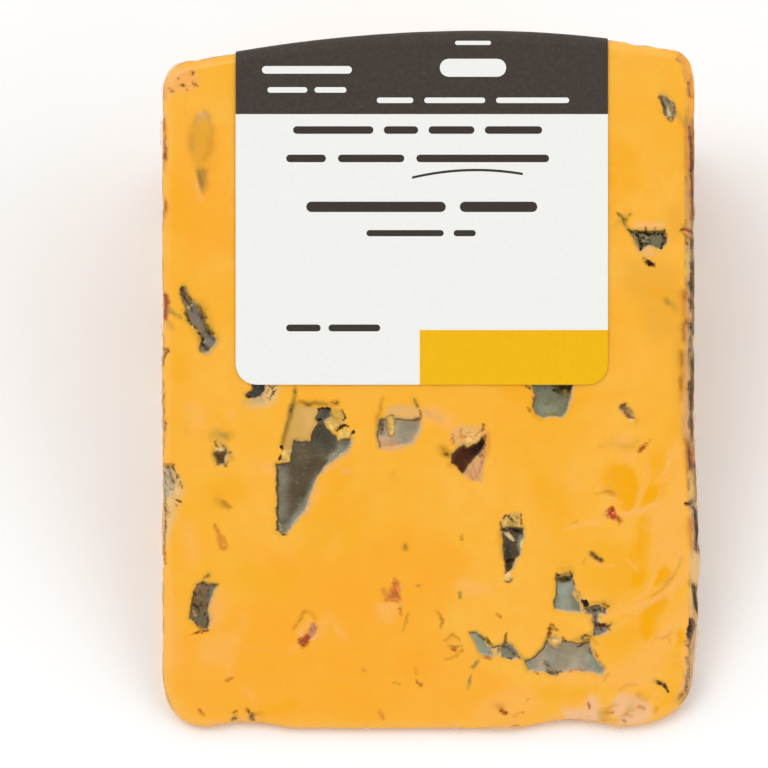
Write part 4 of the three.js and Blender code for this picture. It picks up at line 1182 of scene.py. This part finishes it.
def clear_film(settings):
    """Clear stretch film, blown and pulled tight: glossy, with creases and folds that are a little white.
    That white is partly crinkled film and partly painted highlight in place of their gloss.
    """
    material, put, finish = new_material("clear stretch film")
    place = put("ShaderNodeTexCoord", {}, out=3)
    waves = put(NOISE, {"Vector": place, "Scale": per(5), "Detail": 3.0})
    bump = put("ShaderNodeBump", {"Strength": 0.35, "Distance": 0.0005, "Height": waves})
    white = linear("#FFFFFF")
    gloss = put("ShaderNodeBsdfGlossy", {"Color": white, "Roughness": settings.roughness, "Normal": bump})
    clear = put("ShaderNodeBsdfTransparent", {"Color": white})
    slant = put("ShaderNodeLayerWeight", {"Blend": 0.5, "Normal": bump}, out=1)
    steep = put(MATHS, {0: slant, 1: 5.0}, operation="POWER")
    mirror = put(MATHS, {0: steep, 1: 0.04, 2: 0.024}, operation="MULTIPLY_ADD")
    skin = put("ShaderNodeMixShader", {0: mirror, 1: clear, 2: gloss})
    # A milky white share along creases and pleats: partly crinkled film, partly painted highlight
    milky_and_highlight = put("ShaderNodeBsdfDiffuse", {"Color": linear("#FFE2B0")})
    haze_and_highlight = put(STORED, {}, out=2, attribute_name="haze_and_highlight")
    finish(put("ShaderNodeMixShader", {0: haze_and_highlight, 1: skin, 2: milky_and_highlight}))
    return material


def coated_paper(name, colour, fleck, share):
    """Smooth coated label paper or the ink on it: satin, with the faint unevenness of a flexo print."""
    material, put, finish = new_material(name)
    place = put("ShaderNodeTexCoord", {}, out=3)
    fibre = put(NOISE, {"Vector": place, "Scale": per(0.35), "Detail": 3.0})
    cloud = put(NOISE, {"Vector": place, "Scale": per(0.7), "Detail": 4.0, "Roughness": 0.7})
    amount = put(RANGE, ease(cloud, 0.45, 0.75, 0, share))
    uneven = put(MIX, {0: amount, 6: colour, 7: linear(fleck)}, **COLOUR_MIX)
    bump = put("ShaderNodeBump", {"Strength": 0.2, "Distance": 0.00003, "Height": fibre})
    finish(put("ShaderNodeBsdfPrincipled", {
        "Base Color": uneven, "Roughness": 0.55, "IOR": 1.5, "Specular IOR Level": 0.2, "Normal": bump,
    }))
    return material


def studio_board():
    """Matte white studio board, smooth to the eye."""
    material, put, finish = new_material("matte white studio board")
    grain = put(NOISE, {"Vector": put("ShaderNodeTexCoord", {}, out=3), "Scale": per(3.0), "Detail": 2.0})
    bump = put("ShaderNodeBump", {"Strength": 0.05, "Distance": 0.0001, "Height": grain})
    white = linear("#FEFEFE")
    finish(put("ShaderNodeBsdfPrincipled", {"Base Color": white, "Roughness": 0.9, "Normal": bump}))
    return material


# ---------------- Pieces ----------------


def wedge_mesh(inset, step, round_steps, wall_steps, top, under):
    """One closed skin of the whole wedge. `top` and `under` are cap_mesh's settings for the two cut faces."""
    outline = cut_outline(step)
    count = len(outline)
    walls = wedge_walls(outline, inset, round_steps, wall_steps)
    loops = len(walls.points) // count
    faces = loop_quads(loops, count)
    parts = [walls]
    total = len(walls.points)
    for first, is_top, settings in ((0, False, under), ((loops - 1) * count, True, top)):
        spots, triangles = cap_mesh(walls.spots[first:first + count], *settings)
        size, order = len(spots), 1 if is_top else -1
        shift = [first, total - count]  # for the rim's points, and for the added ones
        for triangle in triangles:
            faces.append(tuple(corner + shift[corner >= count] for corner in triangle[::order]))
        if is_top:
            points, out = on_face(spots, -inset), FACE_OUT
        else:
            points, out = on_wheel(spots[:, 0], spots[:, 1] + TIP_STANDOFF, 0) + (0, 0, inset), (0, 0, -1.0)
        angle = WEDGE_ANGLE if is_top else 0.0
        parts.append(Skin(
            points, np.tile(out, (size, 1)), spots, np.full(size, angle), np.full(size, order * math.pi / 2),
            np.zeros((size, 2)),
        ))
        total += size
    return Skin(*(np.concatenate(part) for part in zip(*parts))), faces


def rind_share(skin):
    """How much of each point is rind: the walls but for the blunt tip, and the soft edges' outer part."""
    wall = np.cos(skin.turns) * (np.abs(skin.turns) < 1.5) + 0.12 * ripple(skin.points, 1.3, 9)
    tip = smooth((-skin.ways[:, 1] - 0.35) / 0.5)
    start = np.where(skin.ways[:, 0] > 0.4, RIND_FROM_RIGHT, RIND_FROM)
    return smooth((wall - start) / 0.14) * (1 - tip)


def griminess(skin):
    """How brown and cracked the rind is: as the photograph shows by the cut face, middling further off."""
    side, v = skin.ways[:, 0], skin.spots[:, 1]
    right = np.interp(v, *zip(*GRIME_ON_RIGHT))
    beside = np.where(side > 0.4, right, np.where(side < -0.4, 0.1, 0.15))
    off = smooth((WEDGE_ANGLE - skin.angles) * (v + TIP_STANDOFF) / 5)
    return beside + off * (0.5 + 0.3 * ripple(skin.points, 12, 10) - beside)


def build_cheese(settings):
    """The cheese itself, just inside the film."""
    inset = settings.inset / MM
    hidden = hidden_face(settings.seed)
    top = (partial(crisp_distance, features=SHOWN_FACE), FINE_STEP, 4, 1)
    under = (partial(crisp_distance, features=hidden), 1.6 * FINE_STEP, 4, 2)
    skin, faces = wedge_mesh(inset, CHEESE_OUTLINE_STEP, 6, 34, top, under)
    radius = skin.spots[:, 1] + TIP_STANDOFF
    laid = []
    for features, depth, seed in (
        (SHOWN_FACE, (WEDGE_ANGLE - skin.angles) * radius, 11), (hidden, skin.angles * radius, 23),
    ):
        extra = 0.35 * np.maximum(depth - 0.9, 0)
        laid.append(lay_features(ragged(skin.spots, seed), extra, features))
    on_top = skin.angles > WEDGE_ANGLE / 2
    face = {name: np.where(on_top[:, None] if shown.ndim == 2 else on_top, shown, laid[1][name])
            for name, shown in laid[0].items()}

    rind = rind_share(skin)
    waves = ((0.06, 11, 3), (0.04, 3.2, 4), (0.03, 1.1, 5))  # height, size and seed
    lumps = sum(height * ripple(skin.points, size, seed) for height, size, seed in waves)
    pits = np.minimum(0.3 * ripple(skin.points, 5, 6) + 0.25 * ripple(skin.points, 1.6, 7), 0.05)
    lift = (1 - rind) * lumps + rind * pits + settings.depth * face["hollow"] + 0.5 * face["relief"]
    lift += np.where(face["mould_edge"] < 0, 0.10 * ripple(skin.points, 0.9, 8), 0)
    lift = np.clip(lift, -DEEPEST, inset - UNDER_FILM)
    lift = np.where(on_top, np.maximum(lift, LEAST_THICKNESS - skin.angles * radius), lift)
    points = skin.points + skin.normals * lift[:, None]

    cheese = new_piece("cheese", points, faces, [cheese_paste(settings)])
    for name in ("tint", "mould", "mark"):
        store(cheese.data, name, "FLOAT_COLOR", face[name])
    # lean carries which side of a pocket gets painted shade and which gets painted highlight
    for name in ("mould_edge", "mark_edge", "lean"):
        store(cheese.data, name, "FLOAT", face[name])
    store(cheese.data, "rind", "FLOAT", rind)
    store(cheese.data, "grime", "FLOAT", griminess(skin))
    return cheese


def chance_creases(seed):
    """Short fine creases of the film near the right edge and the tip, and a few anywhere."""
    rng = np.random.default_rng(seed)
    found = []
    for number in range(60):
        low, high = (((20, 1.5), (37, 45)), ((-36, 1), (36, 12)), ((-36, 5), (37, 96)))[number % 3]
        middle = rng.uniform(low, high)
        lean = rng.uniform(-0.9, 0.9) + (math.pi / 2 if number % 3 == 1 else 0.6)
        along = np.array((math.sin(lean), math.cos(lean)))
        at = np.linspace(-0.5, 0.5, 4)[:, None]
        bow = rng.normal(0, 2.8) * (0.25 - at ** 2) * (along[1], -along[0])
        line = middle + rng.uniform(2.5, 8) * at * along + bow
        found.append((rng.uniform(0.06, 0.25), np.column_stack([line, (0.3, 0.8, 0.8, 0.3)])))
    return found


def build_film(settings, label):
    """The clear film over the cheese: creased, pleated down its sides, and smooth under the label."""
    creases = [(strength, np.array(line) * (TENTH, TENTH, 1)) for strength, line in CREASES]
    creases += chance_creases(settings.seed)
    widened = lambda line, half: line * (1, 1, 0) + np.outer(half, (0, 0, 1))

    def from_creases(spots):
        best = np.full(len(spots), FAR)
        for _, line in creases:
            band = widened(line, CREASE_BAND)
            at = near(spots, band, FAR)
            best[at] = np.minimum(best[at], np.maximum(edge_distance(spots[at], band), 0))
        return best

    plain = lambda spots: np.full(len(spots), FAR)
    skin, faces = wedge_mesh(0.0, OUTLINE_STEP, 4, 36, (from_creases, 0.3, 4, 5), (plain, 0.34, 4, 6))
    haze_and_highlight = np.zeros(len(skin.points))
    lift = np.zeros(len(skin.points))
    top = np.flatnonzero(skin.angles > 0.8 * WEDGE_ANGLE)
    spots = skin.spots[top]
    depth = (WEDGE_ANGLE - skin.angles[top]) * (spots[:, 1] + TIP_STANDOFF)
    # Each crease lifts the film into a ridge and gives it white haze, partly crinkled film and partly painted
    # highlight
    for strength, line in creases:
        crest, spine = widened(line, CREASE_LINE), widened(line, 0.001 + 0.4 * line[:, 2])
        at = near(spots, crest, FAR)
        at = at[depth[at] < 2.5]
        away = edge_distance(spots[at], crest) + 0.3 * depth[at]
        fade = np.clip(-edge_distance(spots[at], spine) / 0.3 + 0.2, 0.3, 1)
        ridge = strength * fade * smooth(1 - np.maximum(away, 0) / RIDGE_FOOT)
        lift[top[at]] = np.maximum(lift[top[at]], settings.crease / MM * ridge)
        haze_and_highlight[top[at]] = np.maximum(haze_and_highlight[top[at]], settings.haze_and_highlight * ridge)
    wall = np.cos(skin.turns) * (np.abs(skin.turns) < 1.5)
    run = np.stack([skin.points[:, 0], skin.spots[:, 1], 0.22 * skin.points[:, 2]], 1)
    where = smooth(3 * ripple(skin.points, 14, 32) + 0.4)
    pleat = where * np.maximum(1 - np.abs(ripple(run, 5.0, 31)) / 0.16, 0)
    lift += wall * settings.pleat / MM * smooth(pleat)
    # White haze on the pleats: partly crinkled film, partly painted highlight
    haze_and_highlight += 0.3 * wall * smooth(pleat)
    depth = (WEDGE_ANGLE - skin.angles) * (skin.spots[:, 1] + TIP_STANDOFF)
    clear = np.maximum.reduce([
        np.abs(skin.points[:, 0] - LABEL_MIDDLE) - label.width / MM / 2, LABEL_BOTTOM - skin.spots[:, 1],
        depth - EDGE_ROUND - label.over_rind / MM - CUT_LENGTH + crown(skin.points[:, 0]),
    ])
    lift *= smooth(clear / 0.6)
    haze_and_highlight *= smooth(clear / 0.6)
    lift += np.where(skin.angles > 0, 0.04 * ripple(skin.points, 9, 33), 0)
    points = skin.points + skin.normals * lift[:, None]
    points[:, 2] = np.maximum(points[:, 2], 0.02)
    film = new_piece("film", points, faces, [clear_film(settings)])
    store(film.data, "haze_and_highlight", "FLOAT", np.clip(haze_and_highlight, 0, 1))
    return film


def label_place(x, s, lift):
    """The point of the label at x, s millimetres up the sheet from its lower edge."""
    rim = crown(x) + TIP_STANDOFF
    flat = rim - EDGE_ROUND - LABEL_BOTTOM - TIP_STANDOFF
    reach = EDGE_ROUND + lift
    turn = np.clip((s - flat) / reach, 0, math.pi / 2)
    over = np.maximum(s - flat - reach * math.pi / 2, 0)
    spots = np.stack([x, np.minimum(LABEL_BOTTOM + s, rim - EDGE_ROUND - TIP_STANDOFF)], 1)
    face = on_face(spots, -EDGE_ROUND + reach * np.cos(turn)) + (reach * np.sin(turn))[:, None] * FACE_UP
    rind = on_wheel(x, rim + lift, WEDGE_ANGLE - (EDGE_ROUND + over) / rim)
    return np.where((over > 0)[:, None], rind, face)


def round_patch(middle_x, middle_s, width, height, radius, steps=6):
    """A rectangle with round corners, counter-clockwise."""
    corners = []
    for quarter, (side, end) in enumerate(((1, -1), (1, 1), (-1, 1), (-1, -1))):
        for step in range(steps + 1):
            angle = math.radians(90 * (quarter - 1 + step / steps))
            corners.append((
                middle_x + side * (width / 2 - radius) + radius * math.cos(angle),
                middle_s + end * (height / 2 - radius) + radius * math.sin(angle),
            ))
    return corners


def words(x, v, width, height, lengths, ink):
    """A line of print as plain round-ended bars, one for each word. Lengths are in letters."""
    space = width / (sum(lengths) + 0.9 * (len(lengths) - 1))
    start = x - width / 2
    bars = []
    for length in lengths:
        bars.append((start + length * space / 2, v, length * space, height, ink))
        start += (length + 0.9) * space
    return bars


def under_stroke():
    """A thin bar with a slight arch, under the second line of dark bars."""
    x = np.linspace(*ARCH_X, 25)
    top = ARCH_V - LABEL_BOTTOM - 1.1 * ((x - ARCH_CREST) / (ARCH_CREST - ARCH_X[0])) ** 2
    return [*zip(x, top - 0.36), *zip(x[::-1], top[::-1])]


def build_label(settings):
    """The paper label, with its fields of colour and plain bars in place of words."""
    width, thickness = settings.width / MM, settings.thickness / MM
    left, right = LABEL_MIDDLE - width / 2, LABEL_MIDDLE + width / 2
    length = CUT_LENGTH - LABEL_BOTTOM + EDGE_ROUND * (math.pi / 2 - 1) + settings.over_rind / MM
    prints = [
        (round_patch(LABEL_MIDDLE, length / 2, width, length, LABEL_CORNER), 0),
        ([(left - 1, BAND_FROM), (right + 1, BAND_FROM), (right + 1, length + 1), (left - 1, length + 1)], 1),
        ([(BLOCK_LEFT, -1), (right + 1, -1), (right + 1, BLOCK_TOP), (BLOCK_LEFT, BLOCK_TOP)], 2),
        (under_stroke(), 3),
    ]
    for x, v, bar_width, height, ink in [bar for line in PRINT_LINES for bar in words(*line)]:
        prints.append((round_patch(x, v - LABEL_BOTTOM, bar_width, height, 0.49 * height, 4), ink))

    rows = np.concatenate([
        np.arange(0.8, BEND_ROWS[0], 1.6), np.arange(*BEND_ROWS, 0.3), np.arange(BEND_ROWS[1], length, 1.3),
    ])
    grid = np.stack(np.meshgrid(np.linspace(left, right, 35), rows), -1).reshape(-1, 2)
    on_side = np.abs(grid[:, 0] - LABEL_MIDDLE) > width / 2 - 0.01
    on_side &= np.abs(grid[:, 1] - length / 2) < length / 2 - LABEL_CORNER - 0.3
    grid = grid[on_side | (edge_distance(grid, np.array(prints[0][0])) < -0.3)]
    spots = [Vector(spot) for spot in grid.tolist()]
    fields = []
    for shape, _ in prints:
        fields.append(list(range(len(spots), len(spots) + len(shape))))
        spots += [Vector(corner) for corner in shape]
    placed, _, triangles, _, _, origins = delaunay_2d_cdt(spots, [], fields, 1, 1e-6, True)
    kept = [number for number, origin in enumerate(origins) if 0 in origin]
    flat = np.array([tuple(spot) for spot in placed])
    points = label_place(flat[:, 0], flat[:, 1], thickness + LABEL_GAP)
    materials = [
        coated_paper("coated label paper", settings.paper, "#E9E9E4", 0.5),
        coated_paper("charcoal ink on coated paper", settings.band, "#5A5048", 0.4),
        coated_paper("mustard ink on coated paper", settings.block, "#E6AC04", 0.5),
        coated_paper("dark ink on coated paper", settings.ink, "#4A423A", 0.4),
    ]
    label = new_piece("paper_label", points, [triangles[number] for number in kept], materials)
    for polygon, number in zip(label.data.polygons, kept):
        polygon.material_index = prints[max(origins[number])][1]
    uses = Counter(key for polygon in label.data.polygons for key in polygon.edge_keys)
    for edge in label.data.edges:
        edge.use_edge_sharp = uses[edge.key] == 1
    sheet = label.modifiers.new("thickness", "SOLIDIFY")
    sheet.thickness = settings.thickness
    sheet.offset = -1.0
    return label


def build_stage(settings):
    """The floor, the lights and the camera, which looks straight at the shown cut face."""
    mesh = bpy.data.meshes.new("floor")
    corners = [(FLOOR_REACH * x, FLOOR_REACH * y, 0) for x, y in ((-1, -1), (1, -1), (1, 1), (-1, 1))]
    mesh.from_pydata(corners, [], [(0, 1, 2, 3)])
    mesh.materials.append(studio_board())
    floor = bpy.data.objects.new("floor", mesh)
    bpy.context.scene.collection.objects.link(floor)

    world = bpy.data.worlds.new("soft white room")
    world.use_nodes = True
    tree = world.node_tree
    toward = {0: add(tree, "ShaderNodeTexCoord", {}), 1: tuple(FACE_OUT)}
    share = add(tree, "ShaderNodeVectorMath", toward, out=1, operation="DOT_PRODUCT")
    strength = add(tree, RANGE, ease(share, 0.80, 0.97, settings.room, settings.behind))
    tree.links.new(strength, tree.nodes["Background"].inputs["Strength"])
    tree.nodes["Background"].inputs["Color"].default_value = (1.0, 1.0, 1.0, 1.0)
    bpy.context.scene.world = world

    middle = Vector(on_face(np.array([(settings.view_x, settings.view_v)]) / MM)[0]) * MM
    across, up, out = Vector((1, 0, 0)), Vector(FACE_UP), Vector(FACE_OUT)
    for name, way, power, size in (
        ("key", (-0.42, 0.52, 0.85), settings.key, 0.9), ("fill", (0.95, 0.0, 0.7), settings.fill, 1.0),
    ):
        lamp = bpy.data.lights.new(name, "AREA")
        lamp.energy = power
        lamp.shape = "DISK"
        lamp.size = size
        light = bpy.data.objects.new(name, lamp)
        toward = (way[0] * across + way[1] * up + way[2] * out).normalized()
        light.location = middle + LAMP_DISTANCE * toward
        light.rotation_euler = toward.to_track_quat("Z", "Y").to_euler()
        bpy.context.scene.collection.objects.link(light)

    lens = bpy.data.cameras.new("camera")
    lens.lens = lens.sensor_width * settings.distance / settings.view_width
    lens.clip_start, lens.clip_end = 0.05, 20.0
    camera = bpy.data.objects.new("camera", lens)
    camera.location = middle + settings.distance * out
    camera.rotation_euler = out.to_track_quat("Z", "Y").to_euler()
    bpy.context.scene.collection.objects.link(camera)
    bpy.context.scene.camera = camera
    bpy.context.scene.view_settings.view_transform = "Standard"
    return floor


# ---------------- Settings, operators and panel ----------------


def number_of(value, name, description, **limits):
    """A number as a setting."""
    return bpy.props.FloatProperty(name=name, description=description, default=value, **limits)


def length_of(millimetres, name, description):
    """A length as a setting."""
    return number_of(millimetres * MM, name, description, unit="LENGTH")


def share_of(share, name, description):
    """A setting from 0 to 1."""
    return number_of(share, name, description, min=0, max=1, subtype="FACTOR")


def seed_of(seed, description):
    """A seed for what is placed by chance."""
    return bpy.props.IntProperty(name="Seed", description=description, default=seed)


def colour_of(colour, name, description):
    """A colour setting, from its sRGB hex value."""
    return bpy.props.FloatVectorProperty(
        name=name, description=description, default=linear(colour), size=4, min=0, max=1, subtype="COLOR")


class CheeseSettings(bpy.types.PropertyGroup):
    """The cheese."""
    paste: colour_of(PASTE, "Paste", "Colour of the cheese")
    paste_pale: colour_of("#FDBC44", "Pale paste", "Colour of the cheese where it is palest")
    depth: share_of(1.0, "Hollow depth", "How deep the hollows are, as a share of their full depth")
    inset: length_of(0.12, "Inset", "How far the cheese lies inside its film")
    seed: seed_of(7, "Chooses the features of the hidden cut face")


class FilmSettings(bpy.types.PropertyGroup):
    """The clear film."""
    roughness: share_of(0.14, "Roughness", "How blurred the film's reflections are")
    crease: length_of(0.14, "Crease height", "Height of the strongest crease")
    pleat: length_of(0.3, "Pleat height", "Height of the pleats down the sides")
    # The crease white is partly painted highlight
    haze_and_highlight: share_of(0.14, "Crease haze", "How white the strongest crease is")
    seed: seed_of(5, "Chooses the places of the fine creases")


class LabelSettings(bpy.types.PropertyGroup):
    """The paper label."""
    width: length_of(53.8, "Width", "Width of the label")
    over_rind: length_of(12.5, "Over the rind", "How far it runs down the rind")
    thickness: length_of(0.1, "Thickness", "Thickness of the paper")
    paper: colour_of("#F0F0ED", "Paper", "Colour of the bare label")
    band: colour_of("#3F3731", "Band", "Colour of the dark band over the edge")
    block: colour_of("#F2B800", "Block", "Colour of the block in the lower right corner")
    ink: colour_of("#3A322B", "Ink", "Colour of the dark bars")


class StageSettings(bpy.types.PropertyGroup):
    """The camera and the light."""
    view_x: length_of(-6.86, "Aim across", "Where the camera aims across the cut face")
    view_v: length_of(50.0, "Aim up", "Where it aims up the cut face")
    view_width: length_of(111.0, "View width", "Width of the view at the cut face")
    distance: length_of(1200.0, "Distance", "From the camera to the cut face")
    room: number_of(0.97, "Room light", "Strength of the white walls' light")
    behind: number_of(0.12, "Light behind the camera", "Strength of the light straight behind it")
    key: number_of(3.3, "Key light", "Power of the soft light from the upper left", unit="POWER")
    fill: number_of(2.0, "Fill light", "Power of the soft light from the right", unit="POWER")


def finish_piece(piece, node=None):
    """Ties a finished piece to the one body and hides the frame's solid that it stands for."""
    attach(piece, "root")
    if node:
        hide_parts(node)


class CHEESE_OT_cheese(bpy.types.Operator):
    """Build the cheese with its rind, mould pockets and flecks"""
    bl_idname = "cheese.build_cheese"
    bl_label = "Cheese"

    def execute(self, context):
        finish_piece(build_cheese(context.scene.cheese_settings), "wrapped_wedge")
        return {"FINISHED"}


class CHEESE_OT_film(bpy.types.Operator):
    """Stretch the clear film over the cheese"""
    bl_idname = "cheese.wrap_film"
    bl_label = "Film"

    def execute(self, context):
        film = build_film(context.scene.film_settings, context.scene.label_settings)
        finish_piece(film, "wrapped_wedge")
        return {"FINISHED"}


class CHEESE_OT_label(bpy.types.Operator):
    """Stick the paper label on the film, over the rind edge"""
    bl_idname = "cheese.stick_label"
    bl_label = "Label"

    def execute(self, context):
        finish_piece(build_label(context.scene.label_settings), "label")
        return {"FINISHED"}


class CHEESE_OT_stage(bpy.types.Operator):
    """Set up the floor, the lights and the camera"""
    bl_idname = "cheese.set_stage"
    bl_label = "Stage"

    def execute(self, context):
        build_stage(context.scene.stage_settings)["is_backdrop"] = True
        return {"FINISHED"}


OPERATORS = (CHEESE_OT_cheese, CHEESE_OT_film, CHEESE_OT_label, CHEESE_OT_stage)
SETTINGS = {
    "cheese_settings": CheeseSettings, "film_settings": FilmSettings,
    "label_settings": LabelSettings, "stage_settings": StageSettings,
}


class CHEESE_PT_panel(bpy.types.Panel):
    """Lists the sizes and the steps"""
    bl_idname = "CHEESE_PT_panel"
    bl_label = "Wrapped Blue Cheese Wedge"
    bl_space_type = "VIEW_3D"
    bl_region_type = "UI"
    bl_category = "Cheese"

    def draw(self, context):
        for name, group in SETTINGS.items():
            box = self.layout.box()
            box.label(text=group.__doc__)
            for field in group.__annotations__:
                box.prop(getattr(context.scene, name), field)
        for operator in OPERATORS:
            self.layout.operator(operator.bl_idname)


def register():
    for kind in (*SETTINGS.values(), *OPERATORS, CHEESE_PT_panel):
        bpy.utils.register_class(kind)
    for name, group in SETTINGS.items():
        setattr(bpy.types.Scene, name, bpy.props.PointerProperty(type=group))


def unregister():
    for name in SETTINGS:
        delattr(bpy.types.Scene, name)
    for kind in (CHEESE_PT_panel, *OPERATORS, *SETTINGS.values()):
        bpy.utils.unregister_class(kind)


def main():
    register()
    bpy.ops.cheese.build_cheese()
    bpy.ops.cheese.wrap_film()
    bpy.ops.cheese.stick_label()
    bpy.ops.cheese.set_stage()
    sizes = {"cad_box": CAD_BOX, "visual_box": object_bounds()}
    plain = {name: [list(corner) for corner in box] for name, box in sizes.items()}
    json.dumps(plain, indent=1)


if __name__ == "__main__":
    main()
